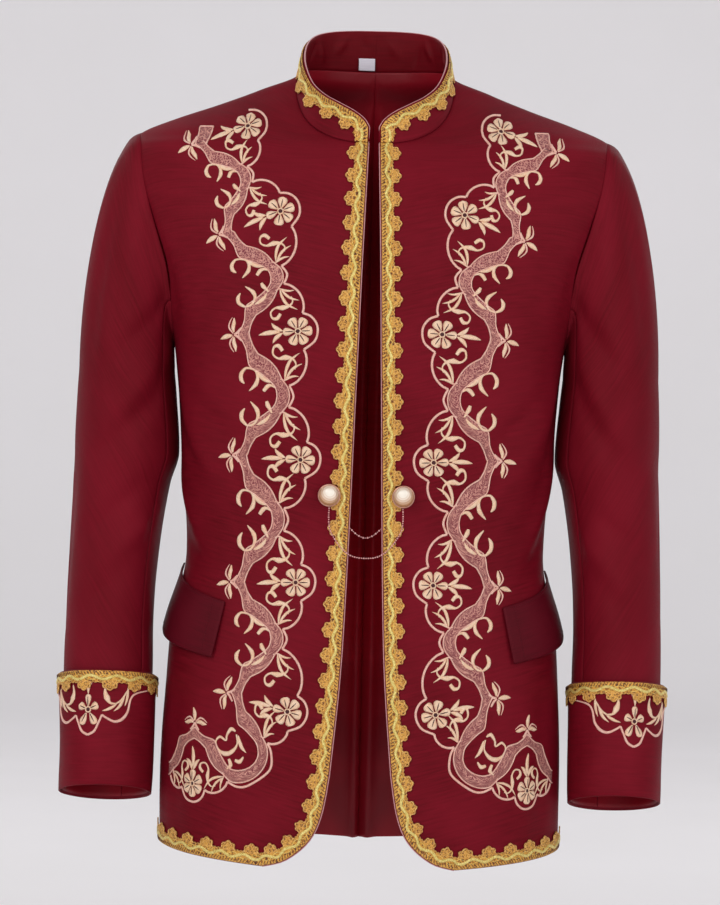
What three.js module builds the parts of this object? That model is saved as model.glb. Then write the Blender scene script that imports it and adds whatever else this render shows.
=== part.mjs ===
// Festive stand-collar jacket, worn open with no wearer inside: hollow cloth walls, gold lace, pearl
// buttons and the chain between them. Millimetres, +Z up, +Y to the back, the wearer's left is +X.
// The origin is the middle of the line between the two points where shoulder seam and collar meet.
import * as THREE from 'three';

// ---------------------------------------------------------------- driving dimensions
const CLOTH = 1.6; // cloth with its lining, one wall
const COLLAR_CLOTH = 2.4; // stiffened collar
const LINING = 1.0;
const SEAM_GAP = 0.3; // between two pieces that are sewn together
const LAY_GAP = 0.9; // between a panel and what lies on it
const QUARTER = Math.PI / 2;

const ROWS = { corner: 3, side: 8, armhole: 10 }; // wall rows from hem to shoulder
const COLUMNS = { front: 10, back: 8, flap: 6 };
const SLEEVE_COLUMNS = 2 * ROWS.armhole;

const COLLAR_LACE_GAP = 1.5; // the collar bends more than its lace
const LACE = { thick: 1.2, border: 0.8, strip: 12.5, scallop: 8, pitch: 24 };
const LACE_OUTLINE = [0, 1, 1]; // depth of a scallop at even points along it
const LACE_ROWS = { hem: 24, corner: 24, front: 40, chest: 20 }; // places on each edge that it is measured by
const COLLAR_LACE = { start: 0.05, top: 0.98, least: 0.03, deepest: 0.9, cornerRows: 3, rows: 8 };
const CUFF_SCALLOPS = 13;
const BUTTON = { radius: 10.8, rim: 2.2, dome: 6.5, x: 34.8, height: -411, sides: 14 };
const CUP = { wall: 1, lip: 0.5, floor: 1, clear: 0.2, under: 0.3 }; // the button's rim round its pearl
const CHAIN = { radius: 0.9, sides: 8, steps: { lower: 24, upper: 14 } };
const LABEL = { thick: 0.5, from: 11.23, to: 11.93, bottom: 0.03, top: 0.33 };

const table = (columns, ...rows) =>
  rows.map((row) => Object.fromEntries(columns.map((name, k) => [name, row[k]])));

// Level sections of the body: half width, depth in front of and behind the side seam, and fullness
// (2 is an ellipse, more is squarer). Above the shoulder tip the half width runs up the shoulder seam.
const BODY_SECTIONS = table(
  ['height', 'halfWidth', 'front', 'back', 'fullness'],
  [12, 75, 22, 70, 2], // collar seam at the back
  [0, 75, 24, 72, 2], // shoulder seam at the neck
  [-18, 113, 31, 84, 2],
  [-34, 154, 44, 91, 2],
  [-48, 194, 57, 97, 2.02],
  [-62, 227.4, 70, 102, 2.1], // shoulder tip
  [-67, 234, 75, 104, 2.1],
  [-75, 244, 83, 106, 2.15],
  [-90, 247, 92, 109, 2.2],
  [-109, 244, 100, 112, 2.3],
  [-150, 230, 114, 118, 2.4],
  [-191, 212, 122, 120, 2.4],
  [-224, 201, 126, 120, 2.4],
  [-250, 194, 127, 119, 2.4],
  [-270, 190, 127, 117, 2.4], // bottom of the armhole
  [-318, 185.5, 124, 110, 2.4],
  [-374, 181.5, 118, 101, 2.35],
  [-468, 174.5, 109, 92, 2.3], // waist
  [-550, 189, 113, 103, 2.3],
  [-596, 191.5, 117, 113, 2.3],
  [-726, 195, 126, 124, 2.3],
  [-765, 194, 128, 126, 2.3], // hem
);
const HEM = { side: -748.7, back: -760.5 };
const CORNER_TOP = -690; // the body's rows are closer together below this height
const YOKE = 10; // height at which the middle of the back reaches the collar's last rows

// Front edge from the lowest point of the hem, round the corner and up to the collar seam.
const CORNER = table(
  ['x', 'height'],
  [91, -762.8],
  [69, -756.2],
  [47.4, -738],
  [36, -712.5],
  [29.4, -674.7],
);
const FRONT_EDGE = table(
  ['x', 'height'],
  [29.4, -674.7],
  [21.3, -579],
  [17, -472],
  [13.4, -340],
  [11.4, -270],
);
const CHEST_EDGE = table(['x', 'height'], [11.4, -270], [9, -180], [5.6, -75]);
// Armhole from its bottom to the shoulder tip, the same in front and behind.
const ARMHOLE = table(
  ['x', 'height'],
  [190, -270],
  [191.5, -250],
  [194, -224],
  [199.3, -191],
  [211.3, -150],
  [222, -109],
  [227.4, -62],
);

// Collar: its seam with the front (x, height) and its top edge, from the front edge to the shoulder seam.
const COLLAR_FRONT = table(
  ['seamX', 'seamHeight', 'topX', 'topY', 'topHeight'],
  [5.6, -75, 5.1, -83.5, -60],
  [13, -75.2, 10, -82, -52],
  [24, -74, 20, -78, -44],
  [41, -69.5, 34.5, -69, -35.5],
  [57, -60.5, 49, -57, -26.5],
  [69, -47, 61, -41, -14],
  [76, -26, 69, -22, 5],
  [75, 0, 70.5, 4, 22],
);
// The same at the back, from the shoulder seam to the middle of the back, at even angles.
const COLLAR_BACK = table(
  ['seamHeight', 'topX', 'topY', 'topHeight'],
  [0, 70.5, 4, 22],
  [4.5, 67, 22, 34],
  [7.5, 59, 40, 42],
  [9.2, 44, 53, 47],
  [9.9, 23, 61, 49.5],
  [10, 0, 63, 50],
);
const COLLAR_ROWS = 2;
const COLLAR_FINENESS = 2; // wall columns between two rows of the tables
const COLLAR_SEAT = 1.0; // its lower edge stands this far above the seam, clear of the thicker fronts

// Sleeve rings below the cap: centre, half width, half depth, and how far the front of a ring is
// raised for each mm of depth, because the arm swings forward.
const SLEEVE_SECTIONS = table(
  ['height', 'x', 'y', 'halfWidth', 'halfDepth', 'tilt'],
  [-295, 236.8, 0, 46.2, 68, 0],
  [-318, 236.3, 1, 48.1, 68, 0],
  [-374, 235.2, 3, 51.2, 66, 0],
  [-405, 240, 4, 48, 64, 0],
  [-467, 245.5, 2, 44.6, 60, 0.02],
  [-512, 247.6, -4, 43.1, 57, 0.06],
  [-544, 248, -9, 42.6, 55, 0.1],
  [-586, 247.5, -16, 43.2, 53, 0.16],
  [-654, 246.8, -29, 42.6, 51, 0.21],
  [-702, 246.5, -38, 42.8, 50, 0.24],
);
const CAP = { start: 0.14, end: 0.48, outward: 1, rows: [0, 0.1, 0.25, 0.5, 0.78] };
const SLEEVE_HEIGHTS = [-295, -335, -374, -420, -467, -512, -560, -610, -702];
const SLEEVE_SEAMS = { front: 8, hind: 14 }; // columns counted from the shoulder tip, front first

// Turned-back cuff: how far its outside stands off the sleeve.
const CUFF = { top: -593, bottom: -704, rows: 3 };
const CUFF_LIFT = table(['height', 'lift'], [-593, 4.2], [-655, 3.1], [-690, 2.6], [-704, 2.1]);

// Pocket flap: its corners (x or angle, height) and how far it stands off the front.
const FLAP = {
  innerX: { top: 132, bottom: 142.6 },
  inner: { top: -516, bottom: -568.4 },
  outerAngle: 1.08 * QUARTER,
  outer: { top: -483, bottom: -543 },
  lift: { top: 1.3, bottomInner: 3.5, bottomOuter: 7 },
  rows: 4,
};

// Chain strands: x and height from the middle to one end, and the side of the front they lie on.
const LOWER_CHAIN = table(
  ['x', 'height'],
  [0, -470.4],
  [8, -469.8],
  [14.7, -467.5],
  [20.8, -463],
  [26.5, -456.5],
  [32, -448],
  [34.6, -440.5],
  [35.2, -431],
  [34.9, -423.6],
);
const UPPER_CHAIN = table(
  ['x', 'height'],
  [0, -451.3],
  [7, -449],
  [13.5, -443.5],
  [20, -436],
  [25.5, -429],
);
const CHAIN_LIFT = { lower: 3.4, upper: -(CLOTH + SEAM_GAP + CHAIN.radius) };

const SIDES = [
  { name: 'left', sign: 1 },
  { name: 'right', sign: -1 },
];

// ---------------------------------------------------------------- materials
const paint = (color, roughness, metalness = 0) =>
  new THREE.MeshStandardMaterial({ color, roughness, metalness });
const material = {
  cloth: paint(0x701420, 0.55),
  lining: paint(0x560810, 0.4),
  flap: paint(0x500f18, 0.6),
  lace: paint(0xc88c28, 0.45, 0.35),
  pearl: paint(0xf0e6d2, 0.25),
  rim: paint(0xc9a060, 0.35, 0.6),
  chain: paint(0xcf9a78, 0.35, 0.7),
  label: paint(0xe8e2ea, 0.7),
};

// ---------------------------------------------------------------- curves and surfaces
const mix = THREE.MathUtils.lerp;

/** A smooth curve through two columns of a table, with no overshoot between its rows. */
function through(rows, from, to) {
  const at = rows.map((row) => [row[from], row[to]]).sort((p, q) => p[0] - q[0]);
  const last = at.length - 1;
  const slope = (k) => (at[k + 1][1] - at[k][1]) / (at[k + 1][0] - at[k][0]);
  const tangent = at.map((_, k) => {
    if (k === 0 || k === last) return slope(Math.min(k, last - 1));
    const [before, after] = [slope(k - 1), slope(k)];
    return before * after <= 0 ? 0 : (2 * before * after) / (before + after);
  });
  return (x) => {
    const place = THREE.MathUtils.clamp(x, at[0][0], at[last][0]);
    const k = Math.min(last - 1, Math.max(0, at.findIndex((p) => p[0] > place) - 1));
    const row = place === at[last][0] ? last - 1 : k;
    const step = at[row + 1][0] - at[row][0];
    const t = (place - at[row][0]) / step;
    const [t2, t3] = [t * t, t * t * t];
    return (
      (2 * t3 - 3 * t2 + 1) * at[row][1] +
      (t3 - 2 * t2 + t) * step * tangent[row] +
      (3 * t2 - 2 * t3) * at[row + 1][1] +
      (t3 - t2) * step * tangent[row + 1]
    );
  };
}

/** A surface of two parameters with its normal, and a way to walk a distance across it. */
class Surface {
  constructor(place, sign, stepA, stepB) {
    Object.assign(this, { place, sign, stepA, stepB });
  }

  partials(a, b) {
    const { stepA, stepB } = this;
    const alongA = this.place(a + stepA, b).sub(this.place(a - stepA, b));
    const alongB = this.place(a, b + stepB).sub(this.place(a, b - stepB));
    return [alongA.divideScalar(2 * stepA), alongB.divideScalar(2 * stepB)];
  }

  normal(a, b) {
    const [alongA, alongB] = this.partials(a, b);
    return alongA.cross(alongB).normalize().multiplyScalar(this.sign);
  }

  point(a, b, lift = 0) {
    const spot = this.place(a, b);
    return lift ? spot.addScaledVector(this.normal(a, b), lift) : spot;
  }

  /** The parameters a distance away from (a, b) in a direction of space, walked in short steps. */
  walk([a, b], direction, distance, steps = 6) {
    if (steps === 0) return [a, b];
    const stride = distance / steps;
    const [alongA, alongB] = this.partials(a, b);
    const [aa, ab, bb] = [alongA.dot(alongA), alongA.dot(alongB), alongB.dot(alongB)];
    const [da, db] = [direction.dot(alongA) * stride, direction.dot(alongB) * stride];
    const area = aa * bb - ab * ab;
    const next = [a + (da * bb - db * ab) / area, b + (db * aa - da * ab) / area];
    return this.walk(next, direction, distance - stride, steps - 1);
  }
}

const halfWidth = through(BODY_SECTIONS, 'height', 'halfWidth');
const frontDepth = through(BODY_SECTIONS, 'height', 'front');
const backDepth = through(BODY_SECTIONS, 'height', 'back');
const fullness = through(BODY_SECTIONS, 'height', 'fullness');

/** The jacket body. Angle 0 is the middle of the front, a quarter turn the side, a half turn the back. */
function bodySurface(sign) {
  const place = (angle, height) => {
    const power = fullness(height);
    const [s, c] = [Math.sin(angle), Math.cos(angle)];
    const reach = (Math.abs(s) ** power + Math.abs(c) ** power) ** (-1 / power);
    const depth = c > 0 ? frontDepth(height) : backDepth(height);
    return new THREE.Vector3(sign * halfWidth(height) * reach * s, -depth * reach * c, height);
  };
  return new Surface(place, sign, 0.002, 0.2);
}

/** The body angle in front at which the surface has this x. */
function angleAt(x, height) {
  const power = fullness(height);
  const share = Math.min(1, x / halfWidth(height));
  return Math.atan2(share, (1 - share ** power) ** (1 / power));
}

/** Even places along a table's spline, as [angle, height] on the body's front. */
function edgeRows(rows, count) {
  const spline = new THREE.SplineCurve(rows.map((row) => new THREE.Vector2(row.x, row.height)));
  return Array.from({ length: count + 1 }, (_, k) => {
    const spot = spline.getPointAt(k / count);
    return [angleAt(spot.x, spot.y), spot.y];
  });
}

/** Even steps between two body places. */
const straightRows = (from, to, count) =>
  Array.from({ length: count + 1 }, (_, k) => from.map((value, axis) => mix(value, to[axis], k / count)));
/** Legs joined end to end. */
const joined = (...legs) => legs.flatMap((leg, k) => (k ? leg.slice(1) : leg));
const toBack = (rows) => rows.map(([angle, height]) => [Math.PI - angle, height]);

// ---------------------------------------------------------------- solids
/** A closed wall over a grid: place(column, row, inner) gives its outer and inner points. */
function wall(columns, rows, place, ring = false) {
  const across = ring ? columns : columns + 1;
  const vertices = [];
  for (const inner of [false, true]) {
    for (let row = 0; row <= rows; row += 1) {
      for (let column = 0; column < across; column += 1) vertices.push(place(column, row, inner));
    }
  }
  const layer = across * (rows + 1);
  const at = (column, row, inner) => (inner ? layer : 0) + row * across + (column % across);
  const faces = [];
  const quad = (a, b, c, d) => faces.push(a, b, c, a, c, d);
  for (let row = 0; row < rows; row += 1) {
    for (let column = 0; column < columns; column += 1) {
      const corner = (inner) => [
        at(column, row, inner),
        at(column + 1, row, inner),
        at(column + 1, row + 1, inner),
        at(column, row + 1, inner),
      ];
      quad(...corner(false));
      const [first, ...others] = corner(true);
      quad(first, ...others.reverse());
    }
  }
  for (let column = 0; column < columns; column += 1) {
    quad(at(column + 1, 0, false), at(column, 0, false), at(column, 0, true), at(column + 1, 0, true));
    quad(
      at(column, rows, false),
      at(column + 1, rows, false),
      at(column + 1, rows, true),
      at(column, rows, true),
    );
  }
  for (let row = 0; row < rows && !ring; row += 1) {
    quad(at(0, row, false), at(0, row + 1, false), at(0, row + 1, true), at(0, row, true));
    quad(
      at(columns, row + 1, false),
      at(columns, row, false),
      at(columns, row, true),
      at(columns, row + 1, true),
    );
  }
  return facingOut(vertices, faces);
}

/** The faces as a geometry, turned over where the walls were made inside out. */
function facingOut(vertices, faces) {
  let volume = 0;
  for (let k = 0; k < faces.length; k += 3) {
    const [a, b, c] = [vertices[faces[k]], vertices[faces[k + 1]], vertices[faces[k + 2]]];
    volume += a.dot(b.clone().cross(c));
  }
  const geometry = new THREE.BufferGeometry().setFromPoints(vertices);
  geometry.setIndex(volume < 0 ? faces.reverse() : faces);
  geometry.computeVertexNormals();
  return geometry;
}

/** A cloth panel between a left and a right list of rows, trimmed back from its seams. */
function panel(surface, left, right, columns, trim, lift = 0, thick = CLOTH) {
  return wall(columns, left.length - 1, (column, row, inner) => {
    const share = column / columns;
    const angle = mix(left[row][0], right[row][0], share);
    const height = mix(left[row][1], right[row][1], share);
    return trim(surface.point(angle, height, lift - (inner ? thick : 0)));
  });
}

const part = new THREE.Group();
function add(name, geometry, finish) {
  const mesh = new THREE.Mesh(geometry, finish);
  mesh.name = name;
  part.add(mesh);
  return mesh;
}

// ---------------------------------------------------------------- fronts, backs and back lining
const armholeRows = edgeRows(ARMHOLE, ROWS.armhole);
const sideRows = joined(
  straightRows([QUARTER, HEM.side], [QUARTER, CORNER_TOP], ROWS.corner),
  straightRows([QUARTER, CORNER_TOP], [QUARTER, ARMHOLE[0].height], ROWS.side),
);
const neckFront = COLLAR_FRONT.map((row) => [angleAt(row.seamX, row.seamHeight), row.seamHeight]);
const neckBack = COLLAR_BACK.map((row, k) => [
  QUARTER * (1 + k / (COLLAR_BACK.length - 1)),
  row.seamHeight,
]);
const frontRows = joined(
  edgeRows(CORNER, ROWS.corner),
  edgeRows(FRONT_EDGE, ROWS.side),
  edgeRows(CHEST_EDGE, ROWS.armhole - (neckFront.length - 1)),
  neckFront,
);
const middleOfBack = (height) => [Math.PI, height];
const backRows = joined(
  straightRows(middleOfBack(HEM.back), middleOfBack(CORNER_TOP), ROWS.corner),
  straightRows(middleOfBack(CORNER_TOP), middleOfBack(ARMHOLE[0].height), ROWS.side),
  straightRows(middleOfBack(ARMHOLE[0].height), middleOfBack(YOKE), ROWS.armhole - (neckBack.length - 1)),
  [...neckBack].reverse(),
);
const outerRows = joined(sideRows, armholeRows);

for (const { name, sign } of SIDES) {
  const body = bodySurface(sign);
  const beforeSeam = (spot) => spot.setY(Math.min(spot.y, -SEAM_GAP / 2));
  const behindSeams = (spot) => {
    const x = sign * Math.max(sign * spot.x, SEAM_GAP / 2);
    return spot.set(x, Math.max(spot.y, SEAM_GAP / 2), spot.z);
  };
  const backEdge = toBack(outerRows);
  add(`front_${name}`, panel(body, frontRows, outerRows, COLUMNS.front, beforeSeam), material.cloth);
  add(`back_${name}`, panel(body, backRows, backEdge, COLUMNS.back, behindSeams), material.cloth);
  add(
    `lining_back_${name}`,
    panel(body, backRows, backEdge, COLUMNS.back, behindSeams, -(CLOTH + LAY_GAP), LINING),
    material.lining,
  );
}

// ---------------------------------------------------------------- sleeves
const ringTable = (name) => through(SLEEVE_SECTIONS, 'height', name);
const ring = {
  x: ringTable('x'),
  y: ringTable('y'),
  halfWidth: ringTable('halfWidth'),
  halfDepth: ringTable('halfDepth'),
  tilt: ringTable('tilt'),
};

/** A point of the sleeve below its cap. Column 0 is the outer side, a quarter of them on is the front. */
function armPoint(column, height, lift = 0) {
  const turn = (2 * Math.PI * column) / SLEEVE_COLUMNS;
  const across = (ring.halfWidth(height) + lift) * Math.cos(turn);
  const along = -(ring.halfDepth(height) + lift) * Math.sin(turn);
  const [x, y] = [ring.x(height) + across, ring.y(height) + along];
  return new THREE.Vector3(x, y, height - ring.tilt(height) * along);
}

/** The armhole's [angle, height] at a sleeve column: from the tip down the front, then up the back. */
function armholeAt(column) {
  const wrapped = (column + SLEEVE_COLUMNS) % SLEEVE_COLUMNS;
  const steps = Math.abs(ROWS.armhole - wrapped);
  const low = Math.min(ROWS.armhole - 1, Math.floor(steps));
  const spot = armholeRows[low].map((value, k) => mix(value, armholeRows[low + 1][k], steps - low));
  return wrapped > ROWS.armhole ? [Math.PI - spot[0], spot[1]] : spot;
}

/** The direction in which the cloth leaves the body at an armhole column. */
function awayFromArmhole(body, column) {
  const step = 1; // wide enough to smooth the corner at the shoulder tip
  const before = body.point(...armholeAt(column - step));
  const after = body.point(...armholeAt(column + step));
  return body.normal(...armholeAt(column)).cross(after.sub(before).normalize());
}

/** The sleeve of one side: rows up to 1 are the cap, rows from 1 on are heights below it. */
function sleeveSurface(sign) {
  const body = bodySurface(1);
  const mirrored = (spot) => spot.setX(sign * spot.x);
  const cap = (column, share) => {
    const start = body.point(...armholeAt(column));
    const away = awayFromArmhole(body, column);
    start.addScaledVector(away, SEAM_GAP);
    const end = armPoint(column, SLEEVE_HEIGHTS[0]);
    const reach = start.distanceTo(end);
    away.x += CAP.outward;
    const first = start.clone().addScaledVector(away.normalize(), CAP.start * reach);
    const second = end.clone().add(new THREE.Vector3(0, 0, CAP.end * reach));
    return new THREE.CubicBezierCurve3(start, first, second, end).getPoint(share);
  };
  const place = (column, row) => {
    if (row < 1) return mirrored(cap(column, Math.max(0, row)));
    return mirrored(armPoint(column, mix(SLEEVE_HEIGHTS[0], SLEEVE_HEIGHTS.at(-1), row - 1)));
  };
  return new Surface(place, sign, 0.01, 0.004);
}

const armRow = (height) =>
  1 + (height - SLEEVE_HEIGHTS[0]) / (SLEEVE_HEIGHTS.at(-1) - SLEEVE_HEIGHTS[0]);
const sleeveRows = [...CAP.rows, ...SLEEVE_HEIGHTS.map(armRow)];

/** The sleeve's cloth between two of its long seams. */
function sleevePiece(sign, from, to) {
  const sleeve = sleeveSurface(sign);
  const body = bodySurface(sign);
  const columns = to - from;
  const seamShare = 0.03; // of a column, half a seam gap
  return wall(columns, sleeveRows.length - 1, (index, row, inner) => {
    const column = mix(from + seamShare, to - seamShare, index / columns);
    const lift = inner ? -CLOTH : 0;
    if (row > 0) return sleeve.point(column, sleeveRows[row], lift);
    return sleeve.point(column, 0).addScaledVector(body.normal(...armholeAt(column)), lift);
  });
}

for (const { name, sign } of SIDES) {
  const { front, hind } = SLEEVE_SEAMS;
  add(`sleeve_under_${name}`, sleevePiece(sign, front, hind), material.cloth);
  add(`sleeve_top_${name}`, sleevePiece(sign, hind, front + SLEEVE_COLUMNS), material.cloth);
}

// ---------------------------------------------------------------- turned-back cuffs and their lace
const cuffLift = through(CUFF_LIFT, 'height', 'lift');
function cuffSurface(sign) {
  const place = (column, row) => {
    const height = mix(CUFF.top, CUFF.bottom, row);
    const spot = armPoint(column, height, cuffLift(height));
    return spot.setX(sign * spot.x);
  };
  return new Surface(place, sign, 0.01, 0.004);
}

/** How deep the lace is at a step along it. */
const laceDepth = (step) => LACE.strip + LACE.scallop * LACE_OUTLINE[step % LACE_OUTLINE.length];

for (const { name, sign } of SIDES) {
  const cuff = cuffSurface(sign);
  const cuffWall = (column, row, inner) => cuff.point(column, row / CUFF.rows, inner ? -CLOTH : 0);
  add(`cuff_${name}`, wall(SLEEVE_COLUMNS, CUFF.rows, cuffWall, true), material.cloth);

  const steps = CUFF_SCALLOPS * LACE_OUTLINE.length;
  const length = CUFF.top - CUFF.bottom;
  const cuffLace = (step, row, inner) => {
    const column = (step * SLEEVE_COLUMNS) / steps;
    const down = (row ? laceDepth(step) : LACE.border) / length;
    return cuff.point(column, down, LAY_GAP + (inner ? 0 : LACE.thick));
  };
  add(`cuff_lace_${name}`, wall(steps, 1, cuffLace, true), material.lace);
}

// ---------------------------------------------------------------- stand collar and its lace
/** Splines through the collar's seam and top edge, from the front edge to the middle of the back. */
function collarSurface(sign) {
  const body = bodySurface(1);
  const frontSeam = neckFront.map((spot) => body.point(...spot));
  const backSeam = neckBack.map((spot) => body.point(...spot));
  const top = joined(COLLAR_FRONT, COLLAR_BACK).map(
    (row) => new THREE.Vector3(row.topX, row.topY, row.topHeight),
  );
  const seamCurve = new THREE.CatmullRomCurve3(joined(frontSeam, backSeam));
  const topCurve = new THREE.CatmullRomCurve3(top);
  const last = top.length - 1;
  const place = (station, share) => {
    const bottom = seamCurve.getPoint(THREE.MathUtils.clamp(station / last, 0, 1));
    const upper = topCurve.getPoint(THREE.MathUtils.clamp(station / last, 0, 1));
    bottom.addScaledVector(upper.clone().sub(bottom).normalize(), COLLAR_SEAT);
    const spot = bottom.lerp(upper, share);
    return spot.setX(sign * spot.x);
  };
  return Object.assign(new Surface(place, sign, 0.02, 0.01), { last });
}

{
  const sides = { 1: collarSurface(1), '-1': collarSurface(-1) };
  const { last } = sides[1];
  const collarPoint = (along, share, lift) => {
    const sign = along < 0 ? -1 : 1;
    const spot = sides[sign].point(last - Math.abs(along), share, lift);
    return along === 0 ? spot.setX(0) : spot;
  };
  const collarWall = (column, row, inner) => {
    const share = row / COLLAR_ROWS;
    const thick = row ? COLLAR_CLOTH : CLOTH;
    return collarPoint(column / COLLAR_FINENESS - last, share, inner ? -thick : 0);
  };
  add('collar', wall(2 * last * COLLAR_FINENESS, COLLAR_ROWS, collarWall), material.cloth);

  // The lace starts at the collar seam, climbs the front corner and follows the top edge.
  const { start, top, least, deepest } = COLLAR_LACE;
  const edge = joined(
    straightRows([start, start], [start, top], COLLAR_LACE.cornerRows),
    straightRows([start, top], [last, top], COLLAR_LACE.rows * last),
  );
  const path = measured(sides[1], edge);
  const scallops = Math.round(path.length / LACE.pitch);
  const steps = scallops * LACE_OUTLINE.length;
  const collarLace = (step, row, inner) => {
    const sign = step < steps ? -1 : 1;
    const along = (path.length * (sign < 0 ? step : 2 * steps - step)) / steps;
    const [station] = path.at(along);
    const height = sides[1].place(station, 0).distanceTo(sides[1].place(station, 1));
    const depth = row ? Math.min(laceDepth(step), deepest * height) : LACE.border;
    const spot = path.inward(along, depth);
    const share = THREE.MathUtils.clamp(spot[1], least, top);
    const lifted = sides[sign].point(spot[0], share, COLLAR_LACE_GAP + (inner ? 0 : LACE.thick));
    return step === steps ? lifted.setX(0) : lifted;
  };
  add('collar_lace', wall(2 * steps, 1, collarLace), material.lace);

  const labelWall = (column, row, inner) => {
    const station = mix(LABEL.from, LABEL.to, column / 2);
    const lift = -(COLLAR_CLOTH + LAY_GAP + (inner ? LABEL.thick : 0));
    return sides[-1].point(station, row ? LABEL.top : LABEL.bottom, lift);
  };
  add('label', wall(2, 1, labelWall), material.label);
}

/** A path along a surface's edge, measured in mm, and the places a distance inward from it. */
function measured(surface, spots) {
  const points = spots.map((spot) => surface.place(...spot));
  const lengths = [0];
  for (let k = 1; k < points.length; k += 1) {
    lengths.push(lengths[k - 1] + points[k].distanceTo(points[k - 1]));
  }
  const length = lengths.at(-1);
  const at = (along) => {
    const k = Math.max(1, lengths.findIndex((reached) => reached >= along - 1e-9));
    const share = (along - lengths[k - 1]) / (lengths[k] - lengths[k - 1]);
    return spots[k].map((value, axis) => mix(spots[k - 1][axis], value, share));
  };
  const inward = (along, distance) => {
    const reach = 3;
    const before = surface.place(...at(Math.max(0, along - reach)));
    const after = surface.place(...at(Math.min(length, along + reach)));
    const spot = at(along);
    const direction = after.sub(before).normalize().cross(surface.normal(...spot)).normalize();
    return surface.walk(spot, direction, distance);
  };
  return { length, at, inward };
}

// ---------------------------------------------------------------- lace of the hem and front edges
const laceEdge = joined(
  straightRows([QUARTER, HEM.side], edgeRows(CORNER, 1)[0], LACE_ROWS.hem),
  edgeRows(CORNER, LACE_ROWS.corner),
  edgeRows(FRONT_EDGE, LACE_ROWS.front),
  edgeRows(CHEST_EDGE, LACE_ROWS.chest),
);
{
  const path = measured(bodySurface(1), laceEdge);
  const scallops = Math.round(path.length / LACE.pitch);
  const steps = scallops * LACE_OUTLINE.length;
  for (const { name, sign } of SIDES) {
    const body = bodySurface(sign);
    const frontLace = (step, row, inner) => {
      const along = mix(1, path.length - 1, step / steps);
      const spot = path.inward(along, row ? laceDepth(step) : LACE.border);
      return body.point(...spot, LAY_GAP + (inner ? 0 : LACE.thick));
    };
    add(`front_lace_${name}`, wall(steps, 1, frontLace), material.lace);
  }
}

// ---------------------------------------------------------------- pocket flaps
for (const { name, sign } of SIDES) {
  const body = bodySurface(sign);
  const flapWall = (column, row, inner) => {
    const [share, down] = [column / COLUMNS.flap, row / FLAP.rows];
    const innerHeight = mix(FLAP.inner.top, FLAP.inner.bottom, down);
    const innerX = mix(FLAP.innerX.top, FLAP.innerX.bottom, down);
    const angle = mix(angleAt(innerX, innerHeight), FLAP.outerAngle, share);
    const height = mix(innerHeight, mix(FLAP.outer.top, FLAP.outer.bottom, down), share);
    const bottomLift = mix(FLAP.lift.bottomInner, FLAP.lift.bottomOuter, share);
    return body.point(angle, height, mix(FLAP.lift.top, bottomLift, down) + (inner ? 0 : CLOTH));
  };
  add(`pocket_flap_${name}`, wall(COLUMNS.flap, FLAP.rows, flapWall), material.flap);
}

// ---------------------------------------------------------------- pearl buttons
/** A solid of revolution about its own +Z, from a closed profile of [radius, height]. */
const turned = (profile) =>
  new THREE.LatheGeometry(
    profile.map(([r, h]) => new THREE.Vector2(r, h)),
    BUTTON.sides,
  ).rotateX(QUARTER);
const dome = (radius, bottom, height, steps) =>
  Array.from({ length: steps + 1 }, (_, k) => {
    const turn = (QUARTER * k) / steps;
    return [k === steps ? 0 : radius * Math.cos(turn), bottom + height * Math.sin(turn)];
  });
const cupRadius = BUTTON.radius - CUP.wall;
const pearlBottom = CUP.floor + CUP.under;
const rimProfile = [
  [0, 0],
  [BUTTON.radius, 0],
  [BUTTON.radius, BUTTON.rim],
  [cupRadius, BUTTON.rim + CUP.lip],
  [cupRadius, CUP.floor],
  [0, CUP.floor],
];
const pearlProfile = [[0, pearlBottom], ...dome(cupRadius - 2 * CUP.clear, pearlBottom, BUTTON.dome, 5)];

for (const { name, sign } of SIDES) {
  const body = bodySurface(sign);
  const spot = [angleAt(BUTTON.x, BUTTON.height), BUTTON.height];
  const facing = body.normal(...spot);
  const seat = body.point(...spot, LAY_GAP + LACE.thick + LAY_GAP);
  const turn = new THREE.Quaternion().setFromUnitVectors(new THREE.Vector3(0, 0, 1), facing);
  for (const [label, profile, finish] of [
    ['button_rim', rimProfile, material.rim],
    ['button_pearl', pearlProfile, material.pearl],
  ]) {
    const mesh = add(`${label}_${name}`, turned(profile), finish);
    mesh.quaternion.copy(turn);
    mesh.position.copy(seat);
  }
}

// ---------------------------------------------------------------- chain between the buttons
function chainStrand(rows, lift, steps) {
  const body = bodySurface(1);
  const half = rows.map((row) => {
    const spot = body.point(angleAt(row.x, row.height), row.height, lift);
    return new THREE.Vector3(row.x, spot.y, row.height);
  });
  const mirrored = half.slice(1).map((spot) => spot.clone().setX(-spot.x));
  const route = new THREE.CatmullRomCurve3([...mirrored.reverse(), ...half]);
  const section = new THREE.Shape(
    Array.from({ length: CHAIN.sides }, (_, k) => {
      const turn = (2 * Math.PI * k) / CHAIN.sides;
      return new THREE.Vector2(CHAIN.radius * Math.cos(turn), CHAIN.radius * Math.sin(turn));
    }),
  );
  return new THREE.ExtrudeGeometry(section, { steps, extrudePath: route, bevelEnabled: false });
}
add('chain_lower', chainStrand(LOWER_CHAIN, CHAIN_LIFT.lower, CHAIN.steps.lower), material.chain);
add('chain_upper', chainStrand(UPPER_CHAIN, CHAIN_LIFT.upper, CHAIN.steps.upper), material.chain);

export default part;
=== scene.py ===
"""Festive stand-collar jacket, worn open with no wearer inside.

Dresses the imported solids: burgundy cloth and lining, gold lace, thread embroidery, pearl buttons and
the chain between them. Lengths are millimetres until a mesh is made, which is in metres."""

import math

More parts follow.
